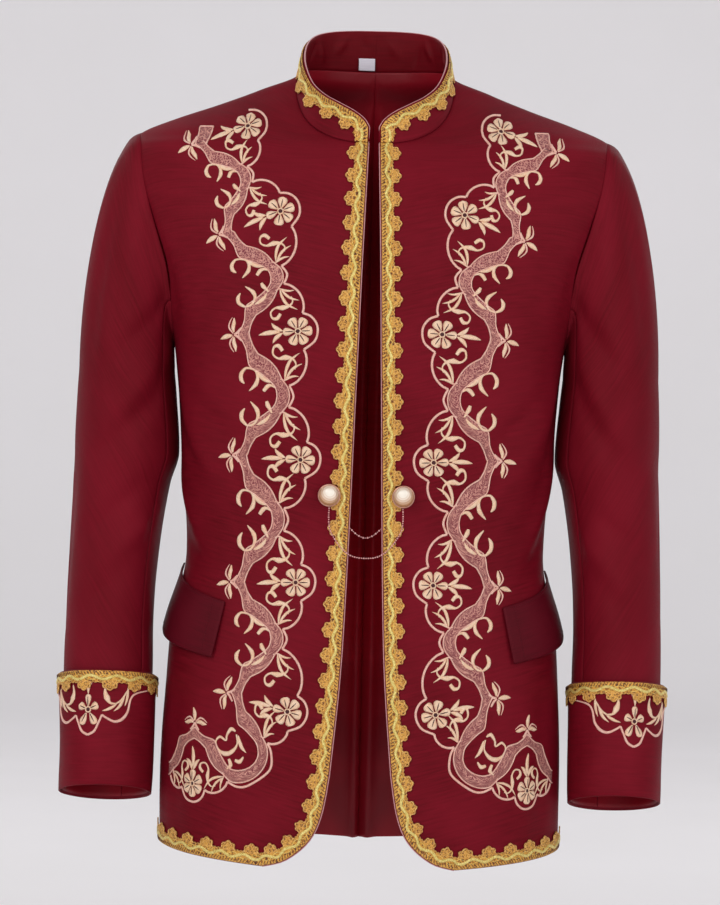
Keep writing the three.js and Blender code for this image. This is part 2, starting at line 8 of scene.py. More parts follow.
import bpy
import numpy as np
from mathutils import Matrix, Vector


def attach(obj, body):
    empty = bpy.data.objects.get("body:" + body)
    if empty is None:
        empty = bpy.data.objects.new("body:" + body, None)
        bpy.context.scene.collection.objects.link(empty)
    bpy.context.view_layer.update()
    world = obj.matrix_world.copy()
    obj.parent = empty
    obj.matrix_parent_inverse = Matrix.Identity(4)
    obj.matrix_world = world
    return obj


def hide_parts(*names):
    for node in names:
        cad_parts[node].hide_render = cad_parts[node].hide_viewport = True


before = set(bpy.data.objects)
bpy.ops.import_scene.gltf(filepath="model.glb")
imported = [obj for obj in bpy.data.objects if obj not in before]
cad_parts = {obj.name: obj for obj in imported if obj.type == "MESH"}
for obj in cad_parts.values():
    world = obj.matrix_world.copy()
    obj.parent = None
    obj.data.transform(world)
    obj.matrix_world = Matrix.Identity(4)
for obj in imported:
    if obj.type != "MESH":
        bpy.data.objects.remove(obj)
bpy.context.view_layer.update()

# ---------------------------------------------------------------- studio
# A pale sweep of paper that runs from the floor up behind the jacket, soft light from panels in front,
# at both sides and behind, two more for the paper, and a long lens level with the jacket's middle.
scene = bpy.context.scene
CAMERA = {"at": (-0.0069, -3.2, -0.3704), "lens": 129.9, "roll": 1.28}
FLOOR = -1.0

camera = bpy.data.objects.new("camera", bpy.data.cameras.new("camera"))
camera.data.lens = CAMERA["lens"]
camera.data.sensor_width = 36
camera.location = CAMERA["at"]
camera.rotation_euler = (math.radians(90), math.radians(-CAMERA["roll"]), 0)
scene.collection.objects.link(camera)
scene.camera = camera

LIGHTS = {  # place, aim, size, watts, colour
    "key": ((-1.5, -2.2, 0.9), (0, 0, -0.35), 1.5, 25, (1, 0.985, 0.97)),
    "fill": ((1.8, -2.0, 0.5), (0, 0, -0.4), 1.6, 17, (0.97, 0.98, 1)),
    "front": ((0.1, -3.0, 0.2), (0, 0, -0.5), 1.2, 8, (1, 1, 1)),
    "back_left": ((-1.4, 1.3, 0.9), (0, 0, -0.3), 1.0, 6, (1, 1, 1)),
    "back_right": ((1.4, 1.3, 0.9), (0, 0, -0.3), 1.0, 6, (1, 1, 1)),
    "wall_left": ((-2.4, 1.8, 1.2), (-0.3, 6, 0), 1.5, 29, (1, 0.99, 1)),
    "wall_right": ((2.4, 1.8, 1.2), (0.3, 6, -0.3), 1.5, 29, (1, 0.99, 1)),
}
for name, (place, aim, size, watts, colour) in LIGHTS.items():
    lamp = bpy.data.lights.new(name, "AREA")
    lamp.size, lamp.energy, lamp.color = size, watts, colour
    holder = bpy.data.objects.new(name, lamp)
    holder.location = place
    away = Vector(place) - Vector(aim)
    holder.rotation_euler = away.to_track_quat("Z", "Y").to_euler()
    scene.collection.objects.link(holder)

scene.world = scene.world or bpy.data.worlds.new("studio")
scene.world.use_nodes = True
sky = scene.world.node_tree.nodes["Background"]
sky.inputs["Color"].default_value = (0.72, 0.71, 0.72, 1)
sky.inputs["Strength"].default_value = 0.6
scene.view_settings.view_transform = "Standard"


class Nodes:
    """Short ways to add, set and join the nodes of a tree."""

    def __init__(self, tree):
        self.tree = tree

    def grow(self, kind, inputs=None, **properties):
        """A node with its properties set. Inputs are sockets to join or values to set, by name or number."""
        made = self.tree.nodes.new(kind)
        for name, value in properties.items():
            setattr(made, name, value)
        for key, value in (inputs or {}).items():
            if isinstance(value, bpy.types.NodeSocket):
                self.tree.links.new(value, made.inputs[key])
            else:
                made.inputs[key].default_value = value
        return made

    def node(self, kind, inputs=None, **properties):
        return self.grow("ShaderNode" + kind, inputs, **properties)

    def math(self, operation, *values):
        return self.node("Math", dict(enumerate(values)), operation=operation).outputs[0]

    def blend(self, factor, first, second):
        """Two colours mixed, each a socket or a colour."""
        sockets = {0: factor, 6: first, 7: second}
        return self.node("Mix", sockets, data_type="RGBA", blend_type="MIX").outputs[2]


class Paint(Nodes):
    """A material: its nodes, and the shader that they feed."""

    def __init__(self, name, **settings):
        self.material = bpy.data.materials.new(name)
        self.material.use_nodes = True
        super().__init__(self.material.node_tree)
        self.shader = self.tree.nodes["Principled BSDF"]
        for socket, value in settings.items():
            self.shader.inputs[socket.replace("_", " ")].default_value = value

    def feed(self, socket, value):
        self.tree.links.new(value, self.shader.inputs[socket])

    def bump(self, height, strength, distance):
        inputs = {"Height": height, "Strength": strength, "Distance": distance}
        self.feed("Normal", self.node("Bump", inputs).outputs[0])


def rgb(code):
    """A colour from its web code, as linear light."""
    parts = [int(code[k : k + 2], 16) / 255 for k in (0, 2, 4)]
    return (*[p / 12.92 if p <= 0.04045 else ((p + 0.055) / 1.055) ** 2.4 for p in parts], 1)


def new_object(name, vertices, faces, scale=0.001):
    """A smooth mesh object from points in millimetres."""
    mesh = bpy.data.meshes.new(name)
    mesh.from_pydata((np.asarray(vertices, float) * scale).tolist(), [], [list(map(int, f)) for f in faces])
    mesh.polygons.foreach_set("use_smooth", [True] * len(mesh.polygons))
    mesh.update()
    made = bpy.data.objects.new(name, mesh)
    scene.collection.objects.link(made)
    return made


# The paper: flat under the jacket, a wide bend behind it, then straight up.
turn = np.linspace(0, math.pi / 2, 13)
sweep = [(-6, 0.0), *zip(4.6 + 1.4 * np.sin(turn), 1.4 - 1.4 * np.cos(turn)), (6, 8)]
paper = new_object(
    "paper",
    [(x, y, FLOOR + z) for y, z in sweep for x in (-8, 8)],
    [(2 * k, 2 * k + 1, 2 * k + 3, 2 * k + 2) for k in range(len(sweep) - 1)],
    scale=1,
)
paper_paint = Paint("paper", Roughness=0.9)
grain = paper_paint.node(
    "TexNoise", {"Scale": 3, "Detail": 2, "Vector": paper_paint.node("TexCoord").outputs["Object"]}
)
paper_paint.feed("Base Color", paper_paint.blend(grain.outputs[0], rgb("f2f0f1"), rgb("f6f4f6")))
paper.data.materials.append(paper_paint.material)

# ---------------------------------------------------------------- body cloth
# Two fronts and two backs of a plain weave, burgundy and fine-slubbed, its satin sheen painted in slow lighter
# patches, cut to the chest, waist and hips, and sewn at the shoulders, the sides and the middle of the back.
CLOTH = 1.6
SEAM_GAP = 0.3
QUARTER = math.pi / 2
SIDES = {"left": 1, "right": -1}

# height, half width, depth in front and behind, fullness (2 is an ellipse, more is squarer)
BODY_SECTIONS = np.array(
    [
        [12, 75, 22, 70, 2],
        [0, 75, 24, 72, 2],
        [-18, 113, 31, 84, 2],
        [-34, 154, 44, 91, 2],
        [-48, 194, 57, 97, 2.02],
        [-62, 227.4, 70, 102, 2.1],  # shoulder tip
        [-67, 234, 75, 104, 2.1],
        [-75, 244, 83, 106, 2.15],
        [-90, 247, 92, 109, 2.2],
        [-109, 244, 100, 112, 2.3],
        [-150, 230, 114, 118, 2.4],
        [-191, 212, 122, 120, 2.4],
        [-224, 201, 126, 120, 2.4],
        [-250, 194, 127, 119, 2.4],
        [-270, 190, 127, 117, 2.4],
        [-318, 185.5, 124, 110, 2.4],
        [-374, 181.5, 118, 101, 2.35],
        [-468, 174.5, 109, 92, 2.3],  # waist
        [-550, 189, 113, 103, 2.3],
        [-596, 191.5, 117, 113, 2.3],
        [-726, 195, 126, 124, 2.3],
        [-765, 194, 128, 126, 2.3],  # hem
    ]
)
HEM = {"side": -748.7, "back": -760.5}
CORNER_TOP, ARMHOLE_FOOT = -690, -270
# The front edge from the lowest point of the hem, round the corner and up; then the chest and the armhole.
CORNER = [(91, -762.8), (69, -756.2), (47.4, -738), (36, -712.5), (29.4, -674.7)]
FRONT_EDGE = [(29.4, -674.7), (21.3, -579), (17, -472), (13.4, -340), (11.4, -270)]
CHEST_EDGE = [(11.4, -270), (9, -180), (5.6, -75)]
ARMHOLE = [(190, -270), (191.5, -250), (194, -224), (199.3, -191), (211.3, -150), (222, -109), (227.4, -62)]
# Collar at the front and back: where its seam is on the fronts (x, height), and its top edge (x, y, height).
COLLAR_FRONT = np.array(
    [
        [5.6, -75, 5.1, -83.5, -60],
        [13, -75.2, 10, -82, -52],
        [24, -74, 20, -78, -44],
        [41, -69.5, 34.5, -69, -35.5],
        [57, -60.5, 49, -57, -26.5],
        [69, -47, 61, -41, -14],
        [76, -26, 69, -22, 5],
        [75, 0, 70.5, 4, 22],
    ]
)
COLLAR_BACK = np.array(
    [
        [0, 70.5, 4, 22], [4.5, 67, 22, 34], [7.5, 59, 40, 42], [9.2, 44, 53, 47], [9.9, 23, 61, 49.5],
        [10, 0, 63, 50],
    ]
)


def through(table, column):
    """A smooth curve through the first and another column of a table, with no overshoot between its rows."""
    rows = table[np.argsort(table[:, 0])]
    x, y = rows[:, 0], rows[:, column]
    slope = np.diff(y) / np.diff(x)
    before, after = slope[:-1], slope[1:]
    same = before * after > 0
    bends = np.where(same, 2 * before * after / np.where(same, before + after, 1), 0)
    tangent = np.concatenate([slope[:1], bends, slope[-1:]])

    def value(at):
        at = np.clip(at, x[0], x[-1])
        k = np.clip(np.searchsorted(x, at, side="right") - 1, 0, len(slope) - 1)
        step = x[k + 1] - x[k]
        t = (at - x[k]) / step
        return (
            (2 * t**3 - 3 * t**2 + 1) * y[k]
            + (t**3 - 2 * t**2 + t) * step * tangent[k]
            + (3 * t**2 - 2 * t**3) * y[k + 1]
            + (t**3 - t**2) * step * tangent[k + 1]
        )

    return value


half_width, front_depth, back_depth, fullness = (through(BODY_SECTIONS, k) for k in (1, 2, 3, 4))


def body(angle, height):
    """The body's form on the wearer's left. Angle 0 is the middle of the front, a quarter turn the side."""
    angle, height = np.broadcast_arrays(np.asarray(angle, float), np.asarray(height, float))
    power = fullness(height)
    s, c = np.sin(angle), np.cos(angle)
    reach = (np.abs(s) ** power + np.abs(c) ** power) ** (-1 / power)
    depth = np.where(c > 0, front_depth(height), back_depth(height))
    return np.stack([half_width(height) * reach * s, -depth * reach * c, height], -1)


def unit(v):
    return v / np.maximum(np.linalg.norm(v, axis=-1, keepdims=True), 1e-9)


def partials(place, a, b, steps):
    """How the surface moves with each of its two values."""
    along_a = (place(a + steps[0], b) - place(a - steps[0], b)) / (2 * steps[0])
    along_b = (place(a, b + steps[1]) - place(a, b - steps[1])) / (2 * steps[1])
    return along_a, along_b


def normals(place, a, b, steps=(0.002, 0.2)):
    return unit(np.cross(*partials(place, a, b, steps)))


def angle_at(x, height):
    """The body angle in front at which the surface has this x."""
    power = fullness(height)
    share = np.minimum(0.99999, np.asarray(x, float) / half_width(height))
    return np.arctan2(share, (1 - share**power) ** (1 / power))


def spline(points, fine=12):
    """A smooth line through points, with this many steps between each two."""
    points = np.asarray(points, float)
    padded = np.concatenate([points[:1], points, points[-1:]])
    t = (np.arange(fine) / fine)[:, None]
    legs = []
    for p0, p1, p2, p3 in zip(padded, padded[1:], padded[2:], padded[3:]):
        legs.append(
            0.5 * (
                2 * p1 + (p2 - p0) * t + (2 * p0 - 5 * p1 + 4 * p2 - p3) * t**2 + (
                    3 * p1 - p0 - 3 * p2 + p3
                ) * t**3
            )
        )
    return np.concatenate([*legs, points[-1:]])


def lengths(line):
    """How far along a line each of its points is."""
    return np.concatenate([[0], np.cumsum(np.linalg.norm(np.diff(line, axis=0), axis=1))])


def evenly(line, count):
    """This many equal steps along a line."""
    reached = lengths(line)
    wanted = np.linspace(0, reached[-1], count + 1)
    return np.stack([np.interp(wanted, reached, column) for column in np.asarray(line).T], -1)


def on_front(points):
    """Places given as x and height, as body angle and height."""
    points = np.asarray(points, float)
    return np.stack([angle_at(points[:, 0], points[:, 1]), points[:, 1]], -1)


def joined(*legs):
    """Lines joined end to end."""
    return np.concatenate([legs[0], *[leg[1:] for leg in legs[1:]]])


FINE = 10  # rows of the visible cloth to one row of the pattern piece
PATTERN_ROWS = {"corner": 3, "side": 8, "armhole": 10}


def straight(start, end, count):
    return np.linspace(np.array(start, float), np.array(end, float), count * FINE + 1)


def edge(points, count):
    return on_front(evenly(spline(points), count * FINE))


chest_rows = PATTERN_ROWS["armhole"] - (len(COLLAR_FRONT) - 1)
yoke_rows = PATTERN_ROWS["armhole"] - (len(COLLAR_BACK) - 1)
armhole_edge = edge(ARMHOLE, PATTERN_ROWS["armhole"])
outer_edge = joined(
    straight((QUARTER, HEM["side"]), (QUARTER, CORNER_TOP), PATTERN_ROWS["corner"]),
    straight((QUARTER, CORNER_TOP), (QUARTER, ARMHOLE_FOOT), PATTERN_ROWS["side"]),
    armhole_edge,
)
neck_front = on_front(spline(COLLAR_FRONT[:, :2], FINE))
neck_back = spline(
    np.stack([QUARTER * np.linspace(1, 2, len(COLLAR_BACK)), COLLAR_BACK[:, 0]], -1), FINE
)
front_edge = joined(
    edge(CORNER, PATTERN_ROWS["corner"]),
    edge(FRONT_EDGE, PATTERN_ROWS["side"]),
    edge(CHEST_EDGE, chest_rows),
    neck_front,
)
back_middle = joined(
    straight((math.pi, HEM["back"]), (math.pi, CORNER_TOP), PATTERN_ROWS["corner"]),
    straight((math.pi, CORNER_TOP), (math.pi, ARMHOLE_FOOT), PATTERN_ROWS["side"]),
    straight((math.pi, ARMHOLE_FOOT), (math.pi, 10), yoke_rows),
    neck_back[::-1],
)

# Creases of the worn cloth: from and to as degrees round the body and height, half
# width and depth of the fold, in mm. A positive depth is a ridge and a negative one a trough.
BODY_CREASES = {
    "left": np.array(
        [
            [62, -300, 30, -390, 11, -1.8],
            [70, -318, 40, -420, 12, 1.6],
            [84, -300, 60, -430, 15, -2.2],
            [88, -360, 58, -470, 14, 1.8],
            [90, -420, 50, -500, 12, -1.9],
            [36, -90, 30, -240, 16, -1.2],
            [60, -110, 66, -240, 13, -1.6],
            [22, -230, 12, -400, 9, 1.1],
            [16, -300, 9, -440, 6, -1.0],
            [78, -600, 74, -740, 14, 1.6],
            [62, -590, 58, -745, 13, -1.3],
            [118, -300, 150, -420, 18, -2.4],
            [112, -370, 152, -470, 14, 2.0],
            [124, -120, 120, -260, 15, -1.8],
            [150, -90, 168, -240, 20, -1.6],
            [165, -470, 172, -700, 14, 1.9],
            [140, -560, 134, -740, 16, -1.9],
            [112, -600, 108, -745, 14, 1.4],
        ]
    ),
    "right": np.array(
        [
            [66, -306, 34, -380, 12, -1.9],
            [74, -330, 44, -410, 11, 1.5],
            [86, -320, 58, -400, 14, -2.0],
            [88, -385, 62, -455, 12, 1.7],
            [90, -440, 54, -485, 11, -1.6],
            [34, -96, 28, -250, 15, -1.1],
            [62, -120, 68, -255, 12, -1.8],
            [24, -210, 14, -380, 9, 1.2],
            [17, -330, 10, -450, 6, -0.9],
            [80, -610, 76, -742, 13, 1.7],
            [66, -600, 60, -745, 14, -1.4],
            [116, -310, 146, -400, 16, -2.2],
            [110, -380, 150, -455, 15, 1.8],
            [122, -130, 118, -250, 14, -1.9],
            [152, -100, 166, -260, 18, -1.4],
            [163, -490, 170, -710, 15, 1.7],
            [142, -570, 138, -742, 15, -1.7],
            [114, -590, 110, -745, 13, 1.5],
        ]
    ),
}
ROUND = 230  # mm of cloth in a quarter turn, about
BODY_CREASED, SLEEVE_CREASED = 1.6, 1.5  # how much deeper the creases are than their tables say


def creased(u, v, rows):
    """The height of all creases at places (u, v) in mm: soft across, and fading towards both ends."""
    total = np.zeros(np.broadcast(u, v).shape)
    for u0, v0, u1, v1, width, depth in rows:
        du, dv = u1 - u0, v1 - v0
        share = np.clip(((u - u0) * du + (v - v0) * dv) / (du * du + dv * dv), 0, 1)
        apart = np.hypot(u - u0 - share * du, v - v0 - share * dv)
        total += depth * np.exp(-((apart / width) ** 2)) * (0.25 + 0.75 * np.sin(math.pi * share))
    return total


def body_relief(side, angle, height):
    """How far the cloth stands off the plain form. It is quiet along the seams and edges."""
    rows = BODY_CREASES[side] * np.array([ROUND / 90, 1, ROUND / 90, 1, 1, 1])
    relief = BODY_CREASED * creased(angle / QUARTER * ROUND, height, rows)
    roll = 0.7 * np.sin(angle * 5.3 + height * 0.012) * np.sin(height * 0.021 + angle * 2.1)
    seam = np.minimum(1, np.abs(angle - QUARTER) * 9 + 0.12) * np.minimum(
        1, np.abs(math.pi - angle) * 6 + 0.1
    )
    return (relief + roll) * seam


def on_body(side, angle, height, lift=0.0):
    """Points of the dressed body, in mm, this far outside the cloth's own face."""
    angle, height = np.broadcast_arrays(np.asarray(angle, float), np.asarray(height, float))
    out = body(angle, height) + normals(body, angle, height) * (
        lift + body_relief(side, angle, height)
    )[..., None]
    return out * (SIDES[side], 1, 1)


def shell(name, outer, inner, ring=False):
    """A thin closed wall between two grids of points [row, column], with rounded rims and flat-cloth UVs."""
    rows, columns = outer.shape[:2]
    vertices = [outer.reshape(-1, 3), inner.reshape(-1, 3)]
    index = np.arange(rows * columns).reshape(rows, columns)
    grids = [index, index + rows * columns]
    faces = []

    def quads(a, b, c, d):
        faces.append(np.stack([a.ravel(), b.ravel(), c.ravel(), d.ravel()], -1))

    for k, grid in enumerate(grids):
        wide = np.concatenate([grid, grid[:, :1]], 1) if ring else grid
        corners = (wide[:-1, :-1], wide[:-1, 1:], wide[1:, 1:], wide[1:, :-1])
        quads(*(corners if k == 0 else corners[::-1]))
    if ring:
        loops = [(index[0], index[1]), (index[-1, ::-1], index[-2, ::-1])]
    else:
        border = np.concatenate([index[0, :-1], index[:-1, -1], index[-1, :0:-1], index[:0:-1, 0]])
        inward = np.concatenate([index[1, :-1], index[:-1, -2], index[-2, :0:-1], index[:0:-1, 1]])
        loops = [(border, inward)]
    count = 2 * rows * columns
    flat_outer, flat_inner = vertices[0], vertices[1]
    sources = [np.arange(rows * columns), np.arange(rows * columns)]
    for border, inward in loops:
        outside, inside = flat_outer[border], flat_inner[border]
        push = unit(outside - flat_outer[inward]) * np.linalg.norm(
            outside - inside, axis=1, keepdims=True
        ) * 0.42
        middle = (outside + inside) / 2 + push
        vertices.append(middle)
        sources.append(border)
        mid = np.arange(count, count + len(border))
        count += len(border)
        nxt = np.roll(np.arange(len(border)), -1)
        quads(border[nxt], border, mid, mid[nxt])
        quads(mid[nxt], mid, border + rows * columns, border[nxt] + rows * columns)
    vertices, faces = np.concatenate(vertices), np.concatenate(faces)
    a, b, c, d = (vertices[faces[:, k]] for k in range(4))
    volume = (a * (np.cross(b, c) + np.cross(c, d))).sum()
    if volume < 0:
        faces = faces[:, ::-1]
    made = new_object(name, vertices, faces)
    steps = np.linalg.norm(np.diff(outer, axis=1), axis=2)
    across = np.concatenate([np.zeros((rows, 1)), np.cumsum(steps, 1)], 1)
    down = np.concatenate(
        [np.zeros((1, columns)), np.cumsum(np.linalg.norm(np.diff(outer, axis=0), axis=2), 0)]
    )
    down = down + outer[0, columns // 2, 2]
    flat = np.stack([across.ravel(), down.ravel()], -1)[np.concatenate(sources)] * 0.001
    give_uv(made, flat)
    return made


def give_uv(made, flat):
    """A UV map in metres of cloth, from one place for each vertex."""
    layer = made.data.uv_layers.new(name="cloth")
    corner = np.empty(len(made.data.loops), int)
    made.data.loops.foreach_get("vertex_index", corner)
    layer.data.foreach_set("uv", np.asarray(flat, float)[corner].ravel())


def between(first, second, columns):
    """Places between two edges given as [angle, height] rows: one more than this many in each row."""
    share = np.linspace(0, 1, columns + 1)[None, :, None]
    return first[:, None] * (1 - share) + second[:, None] * share


def worn(made, node=None):
    """A piece that rides on the jacket; the solid that it stands for is hidden."""
    if node:
        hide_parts(node)
    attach(made, "root")
    return made


def worn_sheet(made, node):
    """A cloth piece that stands for its solid."""
    worn(made, node)


def weave_group():
    """Plain weave on flat cloth: thread height, and the slubs that run across it as light and dark lines."""
    tree = bpy.data.node_groups.new("plain_weave", "ShaderNodeTree")
    faces = tree.interface
    faces.new_socket("Cloth", in_out="INPUT", socket_type="NodeSocketVector")
    for name, value in (("Thread pitch", 0.0009), ("Slub length", 0.03), ("Slub pitch", 0.0022)):
        faces.new_socket(name, in_out="INPUT", socket_type="NodeSocketFloat").default_value = value
    for name in ("Slub", "Height", "Painted sheen"):
        faces.new_socket(name, in_out="OUTPUT", socket_type="NodeSocketFloat")
    kit = Nodes(tree)
    given, result = tree.nodes.new("NodeGroupInput"), tree.nodes.new("NodeGroupOutput")
    flat = kit.node("SeparateXYZ", {0: given.outputs["Cloth"]})

    def stretched(across, down, detail):
        place = kit.node(
            "CombineXYZ",
            {0: kit.math("DIVIDE", flat.outputs[0], across), 1: kit.math("DIVIDE", flat.outputs[1], down)},
        )
        return kit.node("TexNoise", {"Vector": place.outputs[0], "Scale": 1, "Detail": detail}).outputs[0]

    slub = stretched(given.outputs["Slub length"], given.outputs["Slub pitch"], 3)
    turns = [
        kit.math(
            "SINE",
            kit.math("MULTIPLY", kit.math("DIVIDE", flat.outputs[k], given.outputs["Thread pitch"]), 2 * math.pi),
        )
        for k in (0, 1)
    ]
    threads = kit.math("MULTIPLY", *turns)
    height = kit.math("ADD", kit.math("MULTIPLY", threads, 0.35), slub)
    tree.links.new(slub, result.inputs["Slub"])
    tree.links.new(height, result.inputs["Height"])
    # Slow noise that sets where the cloth's painted sheen falls.
    tree.links.new(stretched(0.09, 0.12, 2), result.inputs["Painted sheen"])
    return tree


plain_weave = weave_group()


def cloth_paint(name, dark, plain, lit, roughness, bump, sheen, specular=0.12, painted_shade=None, **pitches):
    """A woven cloth: slub lines in its colour, slow patches of painted sheen towards its lit colour, threads in its
    bump.
    """
    paint = Paint(
        name, Sheen_Weight=sheen, Sheen_Roughness=0.4, Sheen_Tint=rgb("c0303c"), Specular_IOR_Level=specular
    )
    weave = paint.node("Group", node_tree=plain_weave)
    paint.tree.links.new(paint.node("UVMap", uv_map="cloth").outputs[0], weave.inputs["Cloth"])
    for socket, value in pitches.items():
        weave.inputs[socket.replace("_", " ")].default_value = value
    slub = paint.node("MapRange", {0: weave.outputs["Slub"], 1: 0.33, 2: 0.67})
    painted_sheen = paint.node("MapRange", {0: weave.outputs["Painted sheen"], 1: 0.3, 2: 0.7})
    ground = paint.blend(slub.outputs[0], rgb(dark), rgb(plain))
    # Painted shade: the cloth turns to a darker colour above the chest, and to the same darker colour again towards
    # the hem.
    if painted_shade:
        high = paint.node("SeparateXYZ", {0: paint.node("TexCoord").outputs["Object"]}).outputs[2]
        ground = paint.blend(
            paint.node("MapRange", {0: high, 1: -0.26, 2: -0.05}).outputs[0], ground, rgb(painted_shade)
        )
        ground = paint.blend(
            paint.node("MapRange", {0: high, 1: -0.48, 2: -0.66}).outputs[0], ground, rgb(painted_shade)
        )
    # Painted sheen: slow patches of the cloth are painted towards its lit colour.
    paint.feed("Base Color", paint.blend(paint.math("MULTIPLY", painted_sheen.outputs[0], 0.5), ground, rgb(lit)))
    paint.feed(
        "Roughness",
        paint.node("MapRange", {0: weave.outputs["Slub"], 3: roughness - 0.07, 4: roughness + 0.07}).outputs[0],
    )
    paint.bump(weave.outputs["Height"], bump, 0.0004)
    return paint.material


burgundy = cloth_paint("burgundy_cloth", "5e0914", "720e1d", "861628", 0.5, 0.35, 0.0, specular=0.06)
lining_satin = cloth_paint(
    "lining_satin", "a0101f", "b41426", "c01e30", 0.38, 0.15, 0.0, specular=0.2, painted_shade="6c0a17", Slub_pitch=0.004
)


def line_inside(made, faces_outside):
    """The inner face of a piece shows its lining."""
    made.data.materials.append(lining_satin)
    index = np.zeros(len(made.data.polygons), int)
    index[faces_outside : 2 * faces_outside] = 1
    made.data.polygons.foreach_set("material_index", index)


def panel(name, side, first, second, columns, trim):
    """A lined body panel between two edges, trimmed to its seams."""
    place = between(first, second, columns)
    made = shell(name, *[trim(on_body(side, place[..., 0], place[..., 1], lift)) for lift in (0, -CLOTH)])
    made.data.materials.append(burgundy)
    line_inside(made, columns * (len(first) - 1))
    return made


LAY_GAP = 0.9
LINING = 1.0
back_edge = outer_edge * (-1, 1) + (math.pi, 0)


def lining_ripple(side, angle, height):
    """Soft upright folds of the lining, all to the inside, and the pleat down the middle of the back."""
    sign = SIDES[side]
    waves = 1.2 + 1.2 * np.sin(angle * 17 + sign * 0.7 + 0.5 * np.sin(height * 0.013))
    pleat = 7.5 * np.exp(-(((math.pi - angle - 0.035 - 0.012 * sign) / 0.028) ** 2))
    seam = 0.9 * np.exp(-(((height + 40) / 5) ** 2))
    below_neck = np.clip((-20 - height) / 60, 0, 1)
    away = np.minimum(1, np.abs(math.pi - angle) * 40) * np.minimum(1, np.abs(angle - QUARTER) * 12)
    return (waves * away + pleat * away + seam) * below_neck


for side, sign in SIDES.items():

    def before_seam(grid):
        return np.stack([grid[..., 0], np.minimum(grid[..., 1], -SEAM_GAP / 2), grid[..., 2]], -1)

    def behind_seams(grid):
        x = sign * np.maximum(sign * grid[..., 0], SEAM_GAP / 2)
        return np.stack([x, np.maximum(grid[..., 1], SEAM_GAP / 2), grid[..., 2]], -1)

    front = panel(f"cloth_front_{side}", side, front_edge, outer_edge, 72, before_seam)
    worn_sheet(front, f"front_{side}")
    back = panel(f"cloth_back_{side}", side, back_middle, back_edge, 64, behind_seams)
    worn_sheet(back, f"back_{side}")

    place = between(back_middle, back_edge, 96)
    ripple = lining_ripple(side, place[..., 0], place[..., 1])
    outside = CLOTH + LAY_GAP + ripple
    grids = [behind_seams(on_body(side, place[..., 0], place[..., 1], -outside - t)) for t in (0, LINING)]
    lining = shell(f"satin_lining_{side}", *grids)
    lining.data.materials.append(lining_satin)
    worn_sheet(lining, f"lining_back_{side}")

# ---------------------------------------------------------------- sleeves
# Two-piece set-in sleeves of the same cloth, a top and an under sleeve, lined, with the fullness of the
# head eased into the armhole so that it stands slightly proud. They hang curved, as an arm does.
# height, centre x and y, half width, half depth, rise of the front for each mm of depth
SLEEVE_SECTIONS = np.array(
    [
        [-295, 236.8, 0, 46.2, 68, 0],
        [-318, 236.3, 1, 48.1, 68, 0],
        [-374, 235.2, 3, 51.2, 66, 0],
        [-405, 240, 4, 48, 64, 0],
        [-467, 245.5, 2, 44.6, 60, 0.02],
        [-512, 247.6, -4, 43.1, 57, 0.06],
        [-544, 248, -9, 42.6, 55, 0.1],
        [-586, 247.5, -16, 43.2, 53, 0.16],
        [-654, 246.8, -29, 42.6, 51, 0.21],
        [-702, 246.5, -38, 42.8, 50, 0.24],
    ]
)
CAP = {"start": 0.14, "end": 0.48, "outward": 1, "rows": 26}
SLEEVE_TOP, SLEEVE_FOOT = -295, -702
SLEEVE_SEAMS = {"front": 144, "hind": 252}  # degrees round from the outer side, the front first
SEAM_TRIM = 0.5  # degrees, half a seam gap and the turn of the cloth into it
CREASE_FOOT, CREASE_FADE = -585, 40  # the creases die out over this length, above the cuff
# Creases of each sleeve: from and to as degrees round and height, half width and depth.
SLEEVE_CREASES = {
    "left": np.array(
        [
            [150, -215, 60, -320, 13, -3.0],
            [160, -250, 70, -370, 13, 2.6],
            [150, -290, 60, -400, 12, -2.4],
            [40, -110, 52, -280, 12, -1.6],
            [70, -90, 86, -200, 11, 1.6],
            [120, -420, 60, -470, 12, -2.2],
            [150, -440, 80, -500, 12, 1.9],
            [110, -500, 50, -545, 12, -1.6],
            [20, -360, 0, -520, 15, -1.6],
            [300, -200, 330, -340, 15, -2.4],
            [250, -240, 310, -380, 14, 2.2],
            [270, -430, 330, -470, 13, -2.3],
            [240, -470, 300, -510, 13, 1.9],
            [340, -110, 318, -250, 13, -1.7],
        ]
    ),
    "right": np.array(
        [
            [152, -225, 58, -300, 12, -2.8],
            [162, -262, 66, -352, 13, 2.7],
            [154, -305, 54, -380, 12, -2.6],
            [36, -120, 50, -300, 12, -1.8],
            [66, -100, 80, -215, 12, 1.5],
            [124, -405, 56, -455, 12, -2.4],
            [154, -430, 76, -485, 11, 2.0],
            [112, -490, 46, -530, 12, -1.5],
            [24, -380, 4, -540, 14, -1.8],
            [296, -210, 326, -330, 14, -2.3],
            [254, -250, 306, -370, 14, 2.3],
            [268, -420, 326, -460, 13, -2.2],
            [244, -460, 304, -500, 12, 2.0],
            [336, -120, 322, -260, 13, -1.6],
        ]
    ),
}
ring_x, ring_y, ring_width, ring_depth, ring_tilt = (through(SLEEVE_SECTIONS, k) for k in range(1, 6))


def arm(turn, height, lift=0.0):
    """A sleeve point below the cap on the wearer's left. Turn is degrees round, 90 the front."""
    turn = np.radians(turn)
    along = -(ring_depth(height) + lift) * np.sin(turn)
    x = ring_x(height) + (ring_width(height) + lift) * np.cos(turn)
    return np.stack([x, ring_y(height) + along, height - ring_tilt(height) * along], -1)


def armhole_at(turn):
    """Body angle and height of the armhole where the sleeve's column at this turn meets it."""
    wrapped = np.mod(turn, 360)
    climb = np.abs(180 - wrapped) / 180 * (len(armhole_edge) - 1)
    angle, height = (np.interp(climb, np.arange(len(armhole_edge)), armhole_edge[:, k]) for k in (0, 1))
    return np.where(wrapped > 180, math.pi - angle, angle), height


